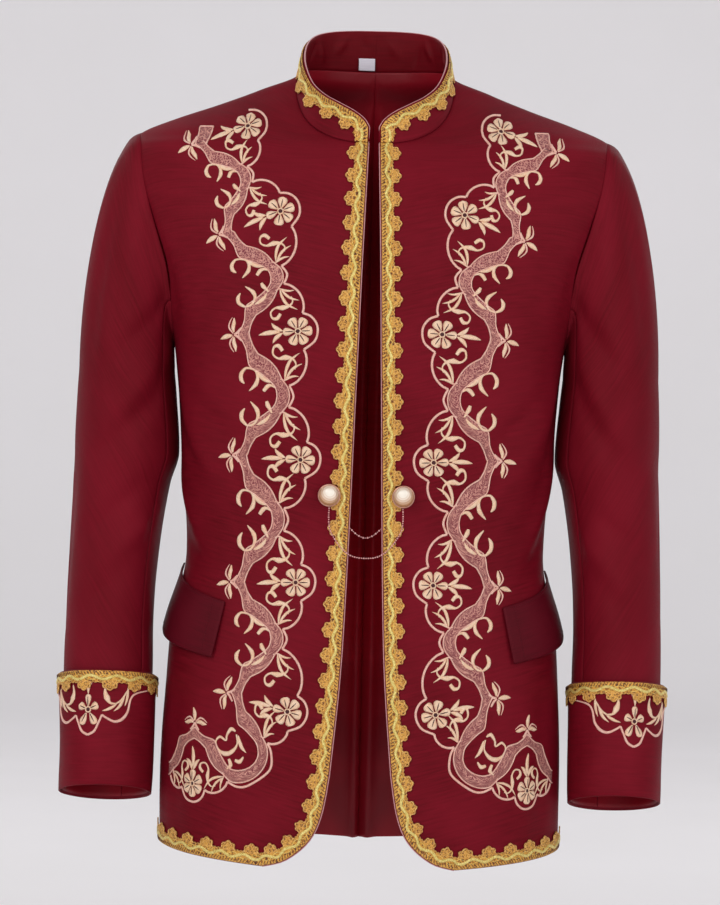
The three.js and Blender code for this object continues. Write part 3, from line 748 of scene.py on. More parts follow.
def sleeve(turn, row):
    """Rows up to 1 are the cap, from the armhole down; rows from 1 to 2 are the length below it."""
    turn, row = np.broadcast_arrays(np.asarray(turn, float), np.asarray(row, float))
    start = body(*armhole_at(turn))
    tangent = unit(body(*armhole_at(turn + 18)) - body(*armhole_at(turn - 18)))
    away = np.cross(normals(body, *armhole_at(turn)), tangent)
    start = start + away * SEAM_GAP
    height = np.full(turn.shape, float(SLEEVE_TOP))
    end = arm(turn, height)
    reach = np.linalg.norm(end - start, axis=-1, keepdims=True)
    away = unit(away + np.array([CAP["outward"], 0, 0]))
    first, second = start + away * CAP["start"] * reach, end + np.array([0, 0, 1]) * CAP["end"] * reach
    t = np.clip(row, 0, 1)[..., None]
    cap = (1 - t) ** 3 * start + 3 * t * (1 - t) ** 2 * first + 3 * t**2 * (1 - t) * second + t**3 * end
    below = arm(turn, SLEEVE_TOP + (SLEEVE_FOOT - SLEEVE_TOP) * np.clip(row - 1, 0, 1))
    return np.where((row < 1)[..., None], cap, below)


def sleeve_relief(side, turn, row, height):
    wrapped = np.mod(turn, 360)
    relief = SLEEVE_CREASED * creased(wrapped, height, SLEEVE_CREASES[side])
    relief += 0.5 * np.sin(np.radians(turn) * 2 + height * 0.018)
    head = 1.3 * np.exp(-(((row - 0.1) / 0.07) ** 2)) * np.clip(np.cos(np.radians(turn)) + 0.5, 0, 1)
    quiet = np.clip((height - CREASE_FOOT) / CREASE_FADE, 0.05, 1) * np.clip(row / 0.06, 0.05, 1)
    seam = np.minimum(np.abs(wrapped - SLEEVE_SEAMS["front"]), np.abs(wrapped - SLEEVE_SEAMS["hind"]))
    return relief * quiet * np.clip(seam / 12, 0.15, 1) + head


def on_sleeve(side, turn, row, lift=0.0):
    turn, row = np.broadcast_arrays(np.asarray(turn, float), np.asarray(row, float))
    spot = sleeve(turn, row)
    safe = np.clip(row, 0.02, 1.995)
    normal = normals(sleeve, turn, safe, (0.3, 0.004))
    return (spot + normal * (lift + sleeve_relief(side, turn, row, spot[..., 2]))[..., None]) * (
        SIDES[side], 1, 1
    )


sleeve_rows = np.concatenate(
    [np.linspace(0, 1, CAP["rows"], endpoint=False), np.linspace(1, 2, 110)]
)[:, None]
SLEEVE_PIECES = {
    "top": (
        SLEEVE_SEAMS["hind"] - 360 + SEAM_TRIM, SLEEVE_SEAMS["front"] - SEAM_TRIM, 84, (0.27, 0.66), 0.150
    ),
    "under": (SLEEVE_SEAMS["front"] + SEAM_TRIM, SLEEVE_SEAMS["hind"] - SEAM_TRIM, 36, (0.17, 0.52), 0.062),
}
for side in SIDES:
    for piece, (start, end, columns, flat, area) in SLEEVE_PIECES.items():
        turns = np.linspace(start, end, columns + 1)[None, :]
        grids = [on_sleeve(side, turns, sleeve_rows, lift) for lift in (0, -CLOTH)]
        made = shell(f"cloth_sleeve_{piece}_{side}", *grids)
        made.data.materials.append(burgundy)
        line_inside(made, columns * (len(sleeve_rows) - 1))
        worn_sheet(made, f"sleeve_{piece}_{side}")

# ---------------------------------------------------------------- turned-back cuffs
# A band of the cloth sewn round the sleeve's end and turned up over it. It stands a little off at the
# top, and dips behind, so that the inside of the hem shows below it in front.
CUFF = {"top": -593, "bottom": -704, "columns": 120, "rows": 26}
CUFF_LIFT = np.array([[-593, 4.2], [-655, 3.1], [-690, 2.6], [-704, 2.1]])
cuff_lift = through(CUFF_LIFT, 1)


def cuff(turn, height):
    turn, height = np.broadcast_arrays(np.asarray(turn, float), np.asarray(height, float))
    return arm(turn, height, cuff_lift(height))


def cuff_relief(side, turn, height):
    sway = np.sin(np.radians(turn) * 3 + SIDES[side] + height * 0.03) + np.sin(
        np.radians(turn) * 5 + height * 0.05
    )
    return 0.35 * sway


def on_cuff(side, turn, height, lift=0.0):
    turn, height = np.broadcast_arrays(np.asarray(turn, float), np.asarray(height, float))
    normal = normals(cuff, turn, height, (0.3, 0.3))
    out = normal * (lift + cuff_relief(side, turn, height))[..., None]
    return (cuff(turn, height) - out) * (SIDES[side], 1, 1)


for side in SIDES:
    turns = np.linspace(0, 360, CUFF["columns"], endpoint=False)[None, :]
    heights = np.linspace(CUFF["top"], CUFF["bottom"], CUFF["rows"] + 1)[:, None]
    made = shell(
        f"cloth_cuff_{side}", *[on_cuff(side, turns, heights, lift) for lift in (0, -CLOTH)], ring=True
    )
    made.data.materials.append(burgundy)
    worn_sheet(made, f"cuff_{side}")

# ---------------------------------------------------------------- stand collar
# One stiffened band of the cloth, sewn round the neck and curved away at the front corners. The inside
# is faced with the cloth painted darker, as painted shade, puckered over its canvas, and a blank woven label stands
# on its seam.
COLLAR_CLOTH = 2.4
COLLAR_SEAT = 1.0  # its lower edge stands clear of the thicker fronts
COLLAR_LAST = len(COLLAR_FRONT) + len(COLLAR_BACK) - 2  # stations from the front edge to the mid-back
LABEL = {"from": 11.23, "to": 11.93, "bottom": 0.03, "top": 0.33, "thick": 0.5}

collar_seam = joined(body(*neck_front.T), body(*neck_back.T))
collar_top = spline(np.concatenate([COLLAR_FRONT[:, 2:], COLLAR_BACK[1:, 1:]]), FINE)


def collar(station, share):
    """A point of the collar's outer face on the left, by station round it and share of its height."""
    station, share = np.broadcast_arrays(np.asarray(station, float), np.asarray(share, float))
    at = np.clip(station, 0, COLLAR_LAST) * FINE
    low, high = (
        np.stack([np.interp(at, np.arange(len(line)), line[:, k]) for k in range(3)], -1)
        for line in (collar_seam, collar_top)
    )
    low = low + unit(high - low) * COLLAR_SEAT
    return low + (high - low) * share[..., None]


def on_collar(sign, station, share, lift=0.0):
    station, share = np.broadcast_arrays(np.asarray(station, float), np.asarray(share, float))
    safe = np.clip(station, 0.25, COLLAR_LAST - 0.25)
    normal = normals(collar, safe, share, (0.25, 0.01))
    return (collar(station, share) + normal * np.asarray(lift)[..., None]) * (sign, 1, 1)


def all_round(stations, shares, lift_of):
    """A grid from the right front edge round the back to the left, with its middle column on the centre."""
    right = on_collar(-1, stations, shares, lift_of(-1, stations, shares))
    left = on_collar(1, stations[:, ::-1], shares, lift_of(1, stations[:, ::-1], shares))
    grid = np.concatenate([right, left[:, 1:]], 1)
    grid[:, right.shape[1] - 1, 0] = 0
    return grid


def collar_outside(sign, station, share):
    return 0.25 * np.sin(station * 2.1 + sign) * np.sin(share * 3) + 0 * share


# Puckers of the collar's inside: from and to as station and share, half width in stations, depth.
PUCKERS = {
    1: [
        (7.2, 0.1, 7.9, 0.9, 0.20, 2.6), (8.4, 0.0, 8.1, 0.8, 0.16, -1.8), (9.1, 0.2, 9.7, 0.95, 0.19, 2.4),
        (10.3, 0.0, 9.9, 0.7, 0.15, -1.6), (11.0, 0.3, 11.4, 0.9, 0.18, 1.6),
    ],
    -1: [
        (7.5, 0.0, 7.2, 0.8, 0.19, 2.4), (8.3, 0.2, 8.8, 0.9, 0.18, -1.8), (9.5, 0.1, 9.1, 0.8, 0.16, 2.0),
        (10.2, 0.4, 10.8, 1.0, 0.20, 2.2), (11.6, 0.45, 11.3, 1.0, 0.16, -1.2),
    ],
}


def collar_inside(sign, station, share):
    crumple = 0.3 * np.sin(station * 4.3 + sign * 1.3 + share * 2)
    for a, low, b, high, wide, deep in PUCKERS[sign]:
        t = np.clip((share - low) / (high - low), 0, 1)
        crumple = crumple + deep * np.exp(-(((station - a - (b - a) * t) / wide) ** 2)) * np.sin(math.pi * t)
    thick = CLOTH + (COLLAR_CLOTH - CLOTH) * np.minimum(1, share * 2)
    return -(thick + (0.6 + crumple) * np.sin(math.pi * share)) + collar_outside(sign, station, share)


# Painted shade: the collar's inside is a darker copy of the cloth.
collar_lining = cloth_paint("collar_lining", "5c0710", "6c0a15", "7a0f1c", 0.5, 0.3, 0.0, specular=0.08)
stations = np.linspace(0, COLLAR_LAST, 16 * COLLAR_LAST + 1)[None, :]
shares = np.linspace(0, 1, 15)[:, None]
made = shell(
    "cloth_collar", all_round(stations, shares, collar_outside), all_round(stations, shares, collar_inside)
)
made.data.materials.append(burgundy)
made.data.materials.append(collar_lining)
inside = np.zeros(len(made.data.polygons), int)
faces = (len(shares) - 1) * 2 * (stations.size - 1)
inside[faces : 2 * faces] = 1
made.data.polygons.foreach_set("material_index", inside)
worn_sheet(
    made, "collar"
)

label_paint = cloth_paint("label_ribbon", "d9d3e0", "e6e1ea", "f2eef4", 0.5, 0.3, 0.0, Slub_pitch=0.0008)
across = np.linspace(LABEL["from"], LABEL["to"], 13)[None, :]
up = np.linspace(LABEL["bottom"], LABEL["top"], 13)[:, None]
curl = 0.5 * np.sin(math.pi * (up - LABEL["bottom"]) / (LABEL["top"] - LABEL["bottom"])) + 0 * across
grids = [
    on_collar(-1, across, up, -(COLLAR_CLOTH + 1.9 + curl + (0 if k else LABEL["thick"]))) for k in (0, 1)
]
label = shell("blank_label", *grids)
label.data.materials.append(label_paint)
worn_sheet(label, "label")

# ---------------------------------------------------------------- gold lace
# Metallic lace with fan scallops, sewn flat along the fronts and hem, the collar and the top of the
# cuffs: a netted ground, corded scallops, dark slanting stitches and a bright braid that waves along it.
# thickness, bare edge, depth of the plain strip and of the scallops, one repeat; the netted ground, how
# high the cords sit on it, and how far the fans reach down into the strip
LACE = {
    "thick": 1.2, "border": 0.8, "strip": 12.5, "scallop": 8, "pitch": 24,
    "ground": 0.75, "cord_seat": 0.55, "root": 3.2,
}
LACE_REACH = 24  # how deep the flat places beside an edge go
COLLAR_LACE_GAP = 1.5
COLLAR_RIM = 0.97  # share of the collar's height at which its lace starts


def lace_paint(name, dark, plain, glint_colour, roughness, metallic, strand, openwork):
    """Twisted metal thread: painted glints on its raised threads along one slant, and painted shade where it sinks
    between the threads.
    """
    paint = Paint(name, Specular_IOR_Level=0.6)
    flat = paint.node("SeparateXYZ", {0: paint.node("UVMap", uv_map="cloth").outputs[0]})
    slant = paint.math("ADD", flat.outputs[0], paint.math("MULTIPLY", flat.outputs[1], 0.8))
    cross = paint.math("SUBTRACT", flat.outputs[0], paint.math("MULTIPLY", flat.outputs[1], 0.8))
    turns = [paint.math("SINE", paint.math("MULTIPLY", v, 2 * math.pi / strand)) for v in (slant, cross)]
    place = paint.node("TexCoord").outputs["Object"]
    eyes = paint.node(
        "TexVoronoi", {"Vector": place, "Scale": openwork}, feature="DISTANCE_TO_EDGE"
    ).outputs["Distance"]
    loops = paint.node("MapRange", {0: eyes, 1: 0.22, 2: 0.07}).outputs[0]
    net = paint.math("ADD", paint.math("MULTIPLY", paint.math("MAXIMUM", *turns), 0.25), loops)
    fleck = paint.node("TexNoise", {"Vector": place, "Scale": 420, "Detail": 3}).outputs[0]
    height = paint.math("ADD", paint.math("MULTIPLY", net, 0.5), paint.math("MULTIPLY", fleck, 0.9))
    # Painted glints: the raised threads are painted towards the glint colour.
    tone = paint.node("MapRange", {0: height, 1: 0.45, 2: 1.1})
    lit = paint.blend(tone.outputs[0], rgb(plain), rgb(glint_colour))
    # Painted shade sinks into the hollows between the threads; on the ground these are also the openwork's holes,
    # where the cloth shows through.
    shade_and_holes = paint.node("MapRange", {0: height, 1: 0.36, 2: 0.62})
    paint.feed("Base Color", paint.blend(shade_and_holes.outputs[0], rgb(dark), lit))
    paint.shader.inputs["Metallic"].default_value = metallic
    paint.feed(
        "Roughness", paint.node("MapRange", {0: fleck, 3: roughness - 0.12, 4: roughness + 0.14}).outputs[0]
    )
    paint.bump(height, 0.7, 0.0006)
    return paint.material


lace_ground = lace_paint("lace_ground", "4a120c", "b06c22", "eab24e", 0.46, 0.3, 0.0022, 290)
lace_cord = lace_paint("lace_cord", "8a4214", "dc9438", "ffd482", 0.38, 0.35, 0.0014, 700)
lace_braid = lace_paint("lace_braid", "b88c1c", "e8c64c", "fff0a0", 0.34, 0.4, 0.0012, 900)
lace_hatch = lace_paint("lace_hatch", "240a08", "3c1810", "5c2e16", 0.6, 0.1, 0.0012, 900)


def looked_up(table, row, column):
    """The value between the cells of a table, at rows and columns that needn't be whole."""
    j, i = row.astype(int), column.astype(int)
    down, over = row - j, column - i
    if table.ndim == 3:
        down, over = down[..., None], over[..., None]
    upper = table[j, i] * (1 - over) + table[j, i + 1] * over
    lower = table[j + 1, i] * (1 - over) + table[j + 1, i + 1] * over
    return upper * (1 - down) + lower * down


class Edging:
    """Flat places beside an edge: how far along it, and how far in from it, to a surface's own two values."""

    def __init__(self, place, surface, path, depth, steps, closed=False):
        points = surface(*path.T)
        self.reached = lengths(points)
        self.length = self.reached[-1]
        self.count = int(self.length) + 1
        along = np.linspace(0, self.length, self.count)
        spots = np.stack([np.interp(along, self.reached, path[:, k]) for k in (0, 1)], -1)
        heading = unit(np.gradient(surface(*spots.T), axis=0))
        if closed:
            heading[0] = heading[-1] = unit(heading[0] + heading[-1])
        inward = unit(np.cross(heading, normals(surface, *spots.T, steps)))
        rows = [spots]
        self.stride = 1.0
        for _ in range(int(depth / self.stride) + 1):
            a, b = rows[-1].T
            da, db = partials(surface, a, b, steps)
            aa, ab, bb = (da * da).sum(-1), (da * db).sum(-1), (db * db).sum(-1)
            wa, wb = (inward * da).sum(-1), (inward * db).sum(-1)
            area = aa * bb - ab * ab
            move = np.stack([wa * bb - wb * ab, wb * aa - wa * ab], -1) / area[:, None] * self.stride
            rows.append(rows[-1] + move)
        self.table = np.array(rows)
        self.place = place

    def points(self, along, deep, lift):
        """Points in space at flat places, this far off the face."""
        along, deep = np.broadcast_arrays(np.asarray(along, float), np.asarray(deep, float))
        column = np.clip(along / self.length * (self.count - 1), 0, self.count - 1.001)
        row = np.clip(deep / self.stride, 0, len(self.table) - 1.001)
        spot = looked_up(self.table, row, column)
        return self.place(spot[..., 0], spot[..., 1], lift)


def raised(edging, path, widths, height, lift, profile=(0, 0.75, 1, 0.75, 0), sink=0.5):
    """A closed flat cord or padded stroke along flat places: a low dome, its underside in the cloth.

    Gives its points, faces and flat UVs (across and along, in metres), for a mesh of many."""
    path = np.asarray(path, float)
    widths = np.broadcast_to(np.asarray(widths, float), len(path))
    heading = unit(np.gradient(path, axis=0))
    side = np.stack([-heading[:, 1], heading[:, 0]], -1)
    across = np.linspace(-1, 1, len(profile))
    rise = np.asarray(profile, float)
    spots = path[:, None] + side[:, None] * (across[None, :, None] * widths[:, None, None])
    high = lift - sink * (rise == 0) + rise * np.minimum(height, widths[:, None] * 0.9 + 0.05)
    points = edging.points(spots[..., 0], spots[..., 1], high)
    rows, columns = len(path), len(profile)
    index = np.arange(rows * columns).reshape(rows, columns)
    wide = np.concatenate([index, index[:, :1]], 1)
    faces = np.stack([wide[:-1, :-1], wide[:-1, 1:], wide[1:, 1:], wide[1:, :-1]], -1).reshape(-1, 4)
    along = np.broadcast_to(lengths(path)[:, None], (rows, columns))
    flat = np.stack([across[None, :] * widths[:, None], along], -1) * 0.001
    caps = [index[0][::-1].tolist(), index[-1].tolist()]
    return points.reshape(-1, 3), faces, caps, flat.reshape(-1, 2)


def gathered(name, strokes, paint):
    """One mesh of many closed strokes, each turned so that its faces look outwards."""
    vertices, faces, flats, count = [], [], [], 0
    for points, quads, caps, flat in strokes:
        a, b, c, d = (points[quads[:, k]] for k in range(4))
        middle = points.mean(0)
        volume = ((a + c - 2 * middle) * np.cross(c - a, d - b)).sum()
        turn = -1 if volume < 0 else 1
        vertices.append(points)
        faces += (quads[:, ::turn] + count).tolist() + [[k + count for k in cap[::turn]] for cap in caps]
        flats.append(flat)
        count += len(points)
    made = new_object(name, np.concatenate(vertices), faces)
    give_uv(made, np.concatenate(flats))
    made.data.materials.append(paint)
    return worn(made)


def scallop_depth(along, pitch):
    """The lace's depth: a plain strip, and fans of five lobes."""
    phase = np.mod(along / pitch, 1) * 2 - 1
    fan = np.clip(1 - np.abs(phase / 0.62) ** 1.4, 0, 1) ** 0.66
    lobes = 0.88 + 0.13 * np.cos(phase * math.pi * 4.9) * (np.abs(phase) < 0.62)
    return LACE["strip"] - 1.2 + 0.5 * np.cos(phase * 21) + LACE["scallop"] * fan * lobes


def lace_run(name, node, edging, start, end, scallops, lift, depth_cap=None, ring=False):
    """One length of lace on an edge, as four meshes: ground, scallop cords, dark stitches and braid."""
    pitch = (end - start) / scallops
    along = np.linspace(start, end, scallops * 30 + 1)[: -1 if ring else None]

    def depth(at):
        deep = scallop_depth(at - start, pitch)
        return deep if depth_cap is None else np.minimum(deep, depth_cap(at))

    share = np.linspace(0, 1, 9)[:, None]
    deep = LACE["border"] + (depth(along)[None, :] - LACE["border"]) * share
    grid = np.broadcast_to(along, deep.shape)
    faces_out = edging.points(grid, deep, lift + LACE["ground"])
    faces_in = edging.points(grid, deep, lift)
    ground = shell(f"lace_ground_{name}", faces_out, faces_in, ring=ring)
    ground.data.materials.append(lace_ground)
    worn(ground, node)

    cords, top, fan = [], lift + LACE["cord_seat"], LACE["scallop"] + LACE["root"]
    for k in range(scallops):
        middle = start + (k + 0.5) * pitch
        turn = np.linspace(-1.25, 1.25, 31)
        radius = fan * (0.68 + 0.28 * np.cos(turn) ** 2 + 0.07 * np.cos(turn * 9.5))
        cap = depth(np.array([middle]))[0] - 0.8
        base = min(LACE["strip"] - 3.4, cap - 9)
        reach = (cap - base) / fan
        rim = np.stack([middle + radius * np.sin(turn) * 0.98, base + radius * reach * np.cos(turn)], -1)
        cords.append(raised(edging, rim, 0.95, 1.1, top, (0, 0.8, 0.8, 0)))
        for rib in np.linspace(-0.94, 0.94, 5):
            t = np.linspace(0.15, 0.9, 6)
            long = fan * t * (0.74 + 0.22 * math.cos(rib) ** 2)
            line = np.stack([middle + long * math.sin(rib), base + long * reach * math.cos(rib)], -1)
            cords.append(raised(edging, line, 0.6, 0.8, top, (0, 0.9, 0)))
        for lobe in np.linspace(-1, 1, 5):
            t = np.linspace(0, 2 * math.pi, 10)
            spot = (middle + 6.2 * math.sin(lobe), base + 7.6 * reach * math.cos(lobe))
            loop = np.stack([spot[0] + 1.5 * np.cos(t), spot[1] + 1.5 * reach * np.sin(t)], -1)
            cords.append(raised(edging, loop, 0.55, 0.8, top, (0, 0.9, 0)))
    for phase, deep_at in ((0, 1.6), (math.pi, 11.6)):
        path = np.stack([along, deep_at + 0.5 * np.sin(along * 2 * math.pi / pitch * 6 + phase)], -1)
        cords.append(raised(edging, path, 0.6, 0.7, top, (0, 0.9, 0)))
    hatch = []
    for near in np.arange(start + 1.5, end - 3, 3.1):
        line = np.array([(near, 1.2), (near + 0.9, 2.9), (near + 1.9, 4.6)])
        hatch.append(raised(edging, line, 0.66, 0.4, top + 0.3, (0, 0.9, 0)))
    gathered(f"lace_hatch_{name}", hatch, lace_hatch)
    gathered(f"lace_cords_{name}", cords, lace_cord)

    strands = []
    for phase, sway, wide in ((0, 1.9, 1.9), (math.pi * 0.9, 2.6, 0.4)):
        path = np.stack([along, 7.2 + sway * np.sin(along * 2 * math.pi / pitch + phase)], -1)
        strands.append(raised(edging, path, wide, 1.2 if wide > 1 else 0.6, top, sink=0.3))
    gathered(f"lace_braid_{name}", strands, lace_braid)


hem_line = np.stack(
    [np.linspace(QUARTER - 0.006, edge(CORNER, 1)[0, 0], 60), np.linspace(HEM["side"], CORNER[0][1], 60)], -1
)
lace_path = joined(hem_line, edge(CORNER, 4), edge(FRONT_EDGE, 9), edge(CHEST_EDGE, 4))
for side, sign in SIDES.items():
    edging = Edging(
        lambda a, h, lift, side=side: on_body(side, a, h, lift), body, lace_path, LACE_REACH, (0.002, 0.2)
    )
    count = round(edging.length / LACE["pitch"])
    lace_run(f"front_{side}", f"front_lace_{side}", edging, 1.0, edging.length - 1, count, LAY_GAP)

    around = np.stack([np.linspace(0, 360, 121), np.full(121, CUFF["top"] - 0.2)], -1)
    edging = Edging(
        lambda t, h, lift, side=side: on_cuff(side, t, h, lift), cuff, around, LACE_REACH, (0.3, 0.3),
        closed=True,
    )
    lace_run(f"cuff_{side}", f"cuff_lace_{side}", edging, 0, edging.length, 13, LAY_GAP, ring=True)


def collar_round(along, share):
    """The whole collar from the left front corner (minus) over the back to the right one."""
    spot = collar(COLLAR_LAST - np.abs(along), share)
    return spot * np.stack([np.where(along <= 0, 1, -1), np.ones_like(along), np.ones_like(along)], -1)


def on_collar_round(along, share, lift):
    spot = on_collar(1, COLLAR_LAST - np.abs(along), share, lift)
    spot[..., 0] *= np.where(along <= 0, 1, -1)
    return spot


corner = np.stack([np.full(16, -COLLAR_LAST + 0.05), np.linspace(-0.04, COLLAR_RIM, 16)], -1)
rim = np.stack([np.linspace(-COLLAR_LAST + 0.05, COLLAR_LAST - 0.05, 400), np.full(400, COLLAR_RIM)], -1)
collar_edging = Edging(
    on_collar_round, collar_round, joined(corner, rim, corner[::-1] * (-1, 1)), LACE_REACH, (0.05, 0.01)
)


def collar_cap(along):
    """The most lace that the collar's height has room for."""
    spots = collar_edging.table[0]
    rim_line, seam_line = (collar_round(spots[:, 0], share + 0 * spots[:, 0]) for share in (COLLAR_RIM, 0))
    high = np.linalg.norm(rim_line - seam_line, axis=1)
    return 0.93 * np.interp(along, np.linspace(0, collar_edging.length, len(high)), high)


count = round(collar_edging.length / LACE["pitch"] / 2) * 2
lace_run(
    "collar", "collar_lace", collar_edging, 0.5, collar_edging.length - 0.5, count, COLLAR_LACE_GAP - 0.5, collar_cap
)

# ---------------------------------------------------------------- pocket flaps
# A flap of the cloth over each hip pocket, painted darker than the fronts as painted shade, sewn along its
# top, edge-stitched, and standing a little off the front at its lower corner.
FLAP = {
    "inner_x": (132, 142.6),
    "inner": (-516, -568.4),
    "outer_angle": 1.08 * QUARTER,
    "outer": (-483, -543),
    "lift": (1.3, 3.5, 7),  # at the top, and at the inner and outer lower corners
    "columns": 56,
    "rows": 36,
}
# Painted shade: the flap's cloth is a darker copy of the fronts' cloth.
flap_cloth = cloth_paint("flap_cloth", "480811", "560b18", "6a1222", 0.5, 0.25, 0.0, specular=0.08)


def on_flap(side, share, down, lift=0.0):
    """A place on the flap: share of its width from the inner edge, share of its height from the top."""
    share, down = np.broadcast_arrays(np.asarray(share, float), np.asarray(down, float))
    inner_height = FLAP["inner"][0] + (FLAP["inner"][1] - FLAP["inner"][0]) * down
    inner_x = FLAP["inner_x"][0] + (FLAP["inner_x"][1] - FLAP["inner_x"][0]) * down
    outer_height = FLAP["outer"][0] + (FLAP["outer"][1] - FLAP["outer"][0]) * down
    inner_angle = angle_at(inner_x, inner_height)
    angle = inner_angle + (FLAP["outer_angle"] - inner_angle) * share
    top, low_inner, low_outer = FLAP["lift"]
    low = low_inner + (low_outer - low_inner) * share
    belly = 0.8 * np.sin(math.pi * down) * np.sin(math.pi * share)
    stand = top + (low - top) * down + belly + lift
    return on_body(side, angle, inner_height + (outer_height - inner_height) * share, stand)


STITCH = {"pitch": 2.6, "length": 1.9, "radius": 0.28}


class Grower(Nodes):
    """Geometry nodes: a tree with named inputs, run on a mesh, that gives back a plain mesh."""

    def __init__(self, name, inputs):
        super().__init__(bpy.data.node_groups.new(name, "GeometryNodeTree"))
        faces = self.tree.interface
        self.sockets = {
            "Geometry": faces.new_socket("Geometry", in_out="INPUT", socket_type="NodeSocketGeometry")
        }
        for label, kind in inputs.items():
            self.sockets[label] = faces.new_socket(label, in_out="INPUT", socket_type="NodeSocket" + kind)
        faces.new_socket("Geometry", in_out="OUTPUT", socket_type="NodeSocketGeometry")
        self.given = self.tree.nodes.new("NodeGroupInput").outputs
        self.result = self.tree.nodes.new("NodeGroupOutput")

    def finish(self, geometry):
        real = self.grow("GeometryNodeRealizeInstances", {0: geometry}).outputs[0]
        smooth = self.grow("GeometryNodeSetShadeSmooth", {0: real}).outputs[0]
        painted = self.grow("GeometryNodeSetMaterial", {0: smooth, "Material": self.given["Material"]})
        self.tree.links.new(painted.outputs[0], self.result.inputs[0])

    def run(self, name, lines, **values):
        """The tree's result along lines of points in mm, as a new plain object."""
        vertices, edges = [], []
        for line in lines:
            edges += [(len(vertices) + k, len(vertices) + k + 1) for k in range(len(line) - 1)]
            vertices += (np.asarray(line) * 0.001).tolist()
        mesh = bpy.data.meshes.new(name)
        mesh.from_pydata(vertices, edges, [])
        seed = bpy.data.objects.new(name + "_path", mesh)
        scene.collection.objects.link(seed)
        modifier = seed.modifiers.new("grow", "NODES")
        modifier.node_group = self.tree
        for label, value in values.items():
            modifier[self.sockets[label].identifier] = value
        bpy.context.view_layer.update()
        grown = bpy.data.meshes.new_from_object(seed.evaluated_get(bpy.context.evaluated_depsgraph_get()))
        bpy.data.objects.remove(seed)
        made = bpy.data.objects.new(name, grown)
        grown.name = name
        scene.collection.objects.link(made)
        return made


stitching = Grower(
    "stitch_run", {"Pitch": "Float", "Length": "Float", "Radius": "Float", "Material": "Material"}
)
line = stitching.grow("GeometryNodeMeshToCurve", {0: stitching.given["Geometry"]}).outputs[0]
steps = stitching.grow(
    "GeometryNodeCurveToPoints", {0: line, "Length": stitching.given["Pitch"]}, mode="LENGTH"
)
bead = stitching.grow("GeometryNodeMeshUVSphere", {"Segments": 6, "Rings": 4, "Radius": 1.0})
size = stitching.grow(
    "ShaderNodeCombineXYZ",
    {0: stitching.given["Radius"], 1: stitching.given["Radius"], 2: stitching.given["Length"]},
)
sewn = stitching.grow(
    "GeometryNodeInstanceOnPoints",
    {
        "Points": steps.outputs["Points"], "Instance": bead.outputs["Mesh"],
        "Rotation": steps.outputs["Rotation"], "Scale": size.outputs[0],
    },
)
stitching.finish(sewn.outputs[0])

thread_red = cloth_paint("sewing_thread", "3c060d", "560f1a", "6e1a28", 0.4, 0.1, 0.1, Slub_pitch=0.0006)
for side in SIDES:
    share = np.linspace(0, 1, FLAP["columns"] + 1)[None, :]
    down = np.linspace(0, 1, FLAP["rows"] + 1)[:, None]
    made = shell(f"cloth_flap_{side}", *[on_flap(side, share, down, lift) for lift in (CLOTH, 0)])
    made.data.materials.append(flap_cloth)
    worn_sheet(
        made, f"pocket_flap_{side}",
    )
    inset, low = 0.08, 0.92
    route = [(inset, 0.03), (inset, low), (1 - inset, low), (1 - inset, 0.03)]
    route = np.concatenate([np.linspace(a, b, 30) for a, b in zip(route, route[1:])])
    top = np.linspace((0.02, 0.035), (0.98, 0.035), 40)
    seams = [on_flap(side, *line.T, CLOTH + 0.08) for line in (route, top)]
    sewing = stitching.run(
        f"flap_stitches_{side}",
        seams,
        Pitch=STITCH["pitch"] * 0.001,
        Length=STITCH["length"] / 2 * 0.001,
        Radius=STITCH["radius"] * 0.001,
        Material=thread_red,
    )
    worn(sewing)

# ---------------------------------------------------------------- piping
# A fine bias cord of dusty pink satin, caught in the seam along both front edges and the collar's top.
PIPING = {"radius": 0.7, "sides": 8}
cording = Grower("cord_along_edge", {"Radius": "Float", "Sides": "Int", "Material": "Material"})
line = cording.grow("GeometryNodeMeshToCurve", {0: cording.given["Geometry"]}).outputs[0]
circle = cording.grow(
    "GeometryNodeCurvePrimitiveCircle", {
        "Resolution": cording.given["Sides"], "Radius": cording.given["Radius"]
    }
)
tube = cording.grow("GeometryNodeCurveToMesh", {0: line, 1: circle.outputs[0], "Fill Caps": True})
cording.finish(tube.outputs[0])

piping_satin = Paint("piping_satin", Roughness=0.42, Sheen_Weight=0.2)
place = piping_satin.node("TexCoord").outputs["Object"]
ribs = piping_satin.node("TexNoise", {"Vector": place, "Scale": 900, "Detail": 1}).outputs[0]
piping_satin.feed("Base Color", piping_satin.blend(ribs, rgb("b4717a"), rgb("e2aaa8")))
piping_satin.bump(ribs, 0.4, 0.0003)
for side in SIDES:
    seam_line = np.concatenate([edge(CORNER, 2), edge(FRONT_EDGE, 8)[1:], edge(CHEST_EDGE, 3)[1:]])
    run = on_body(side, *seam_line.T, -CLOTH / 2)
    run = run + (run - on_body(side, seam_line[:, 0] + 0.004, seam_line[:, 1], -CLOTH / 2)) * 0.5
    made = cording.run(
        f"front_piping_{side}", [run], Radius=PIPING["radius"] * 0.001, Sides=PIPING["sides"],
        Material=piping_satin.material,
    )
    worn(made)
along = np.linspace(-COLLAR_LAST, COLLAR_LAST, 260)
top = on_collar_round(along, 0 * along + 1, -COLLAR_CLOTH / 2) + (0, 0, 0.35)
climb = np.linspace(-0.03, 0.98, 14)
first = on_collar_round(np.full(14, -COLLAR_LAST), climb, -COLLAR_CLOTH / 2)
last = on_collar_round(np.full(14, float(COLLAR_LAST)), climb[::-1], -COLLAR_CLOTH / 2)
made = cording.run(
    "collar_piping",
    [np.concatenate([first, top[1:-1], last])],
    Radius=PIPING["radius"] * 0.001,
    Sides=PIPING["sides"],
    Material=piping_satin.material,
)
worn(made)

# ---------------------------------------------------------------- pearl buttons
# Two half-pearl buttons in turned gold-tone rims, one on each front edge, with the chain's ends on them.
BUTTON = {
    "radius": 10.8, "rim": 2.2, "dome": 6.5, "x": 34.8, "height": -411,
    "lift": LAY_GAP + LACE["thick"] + LAY_GAP,
}


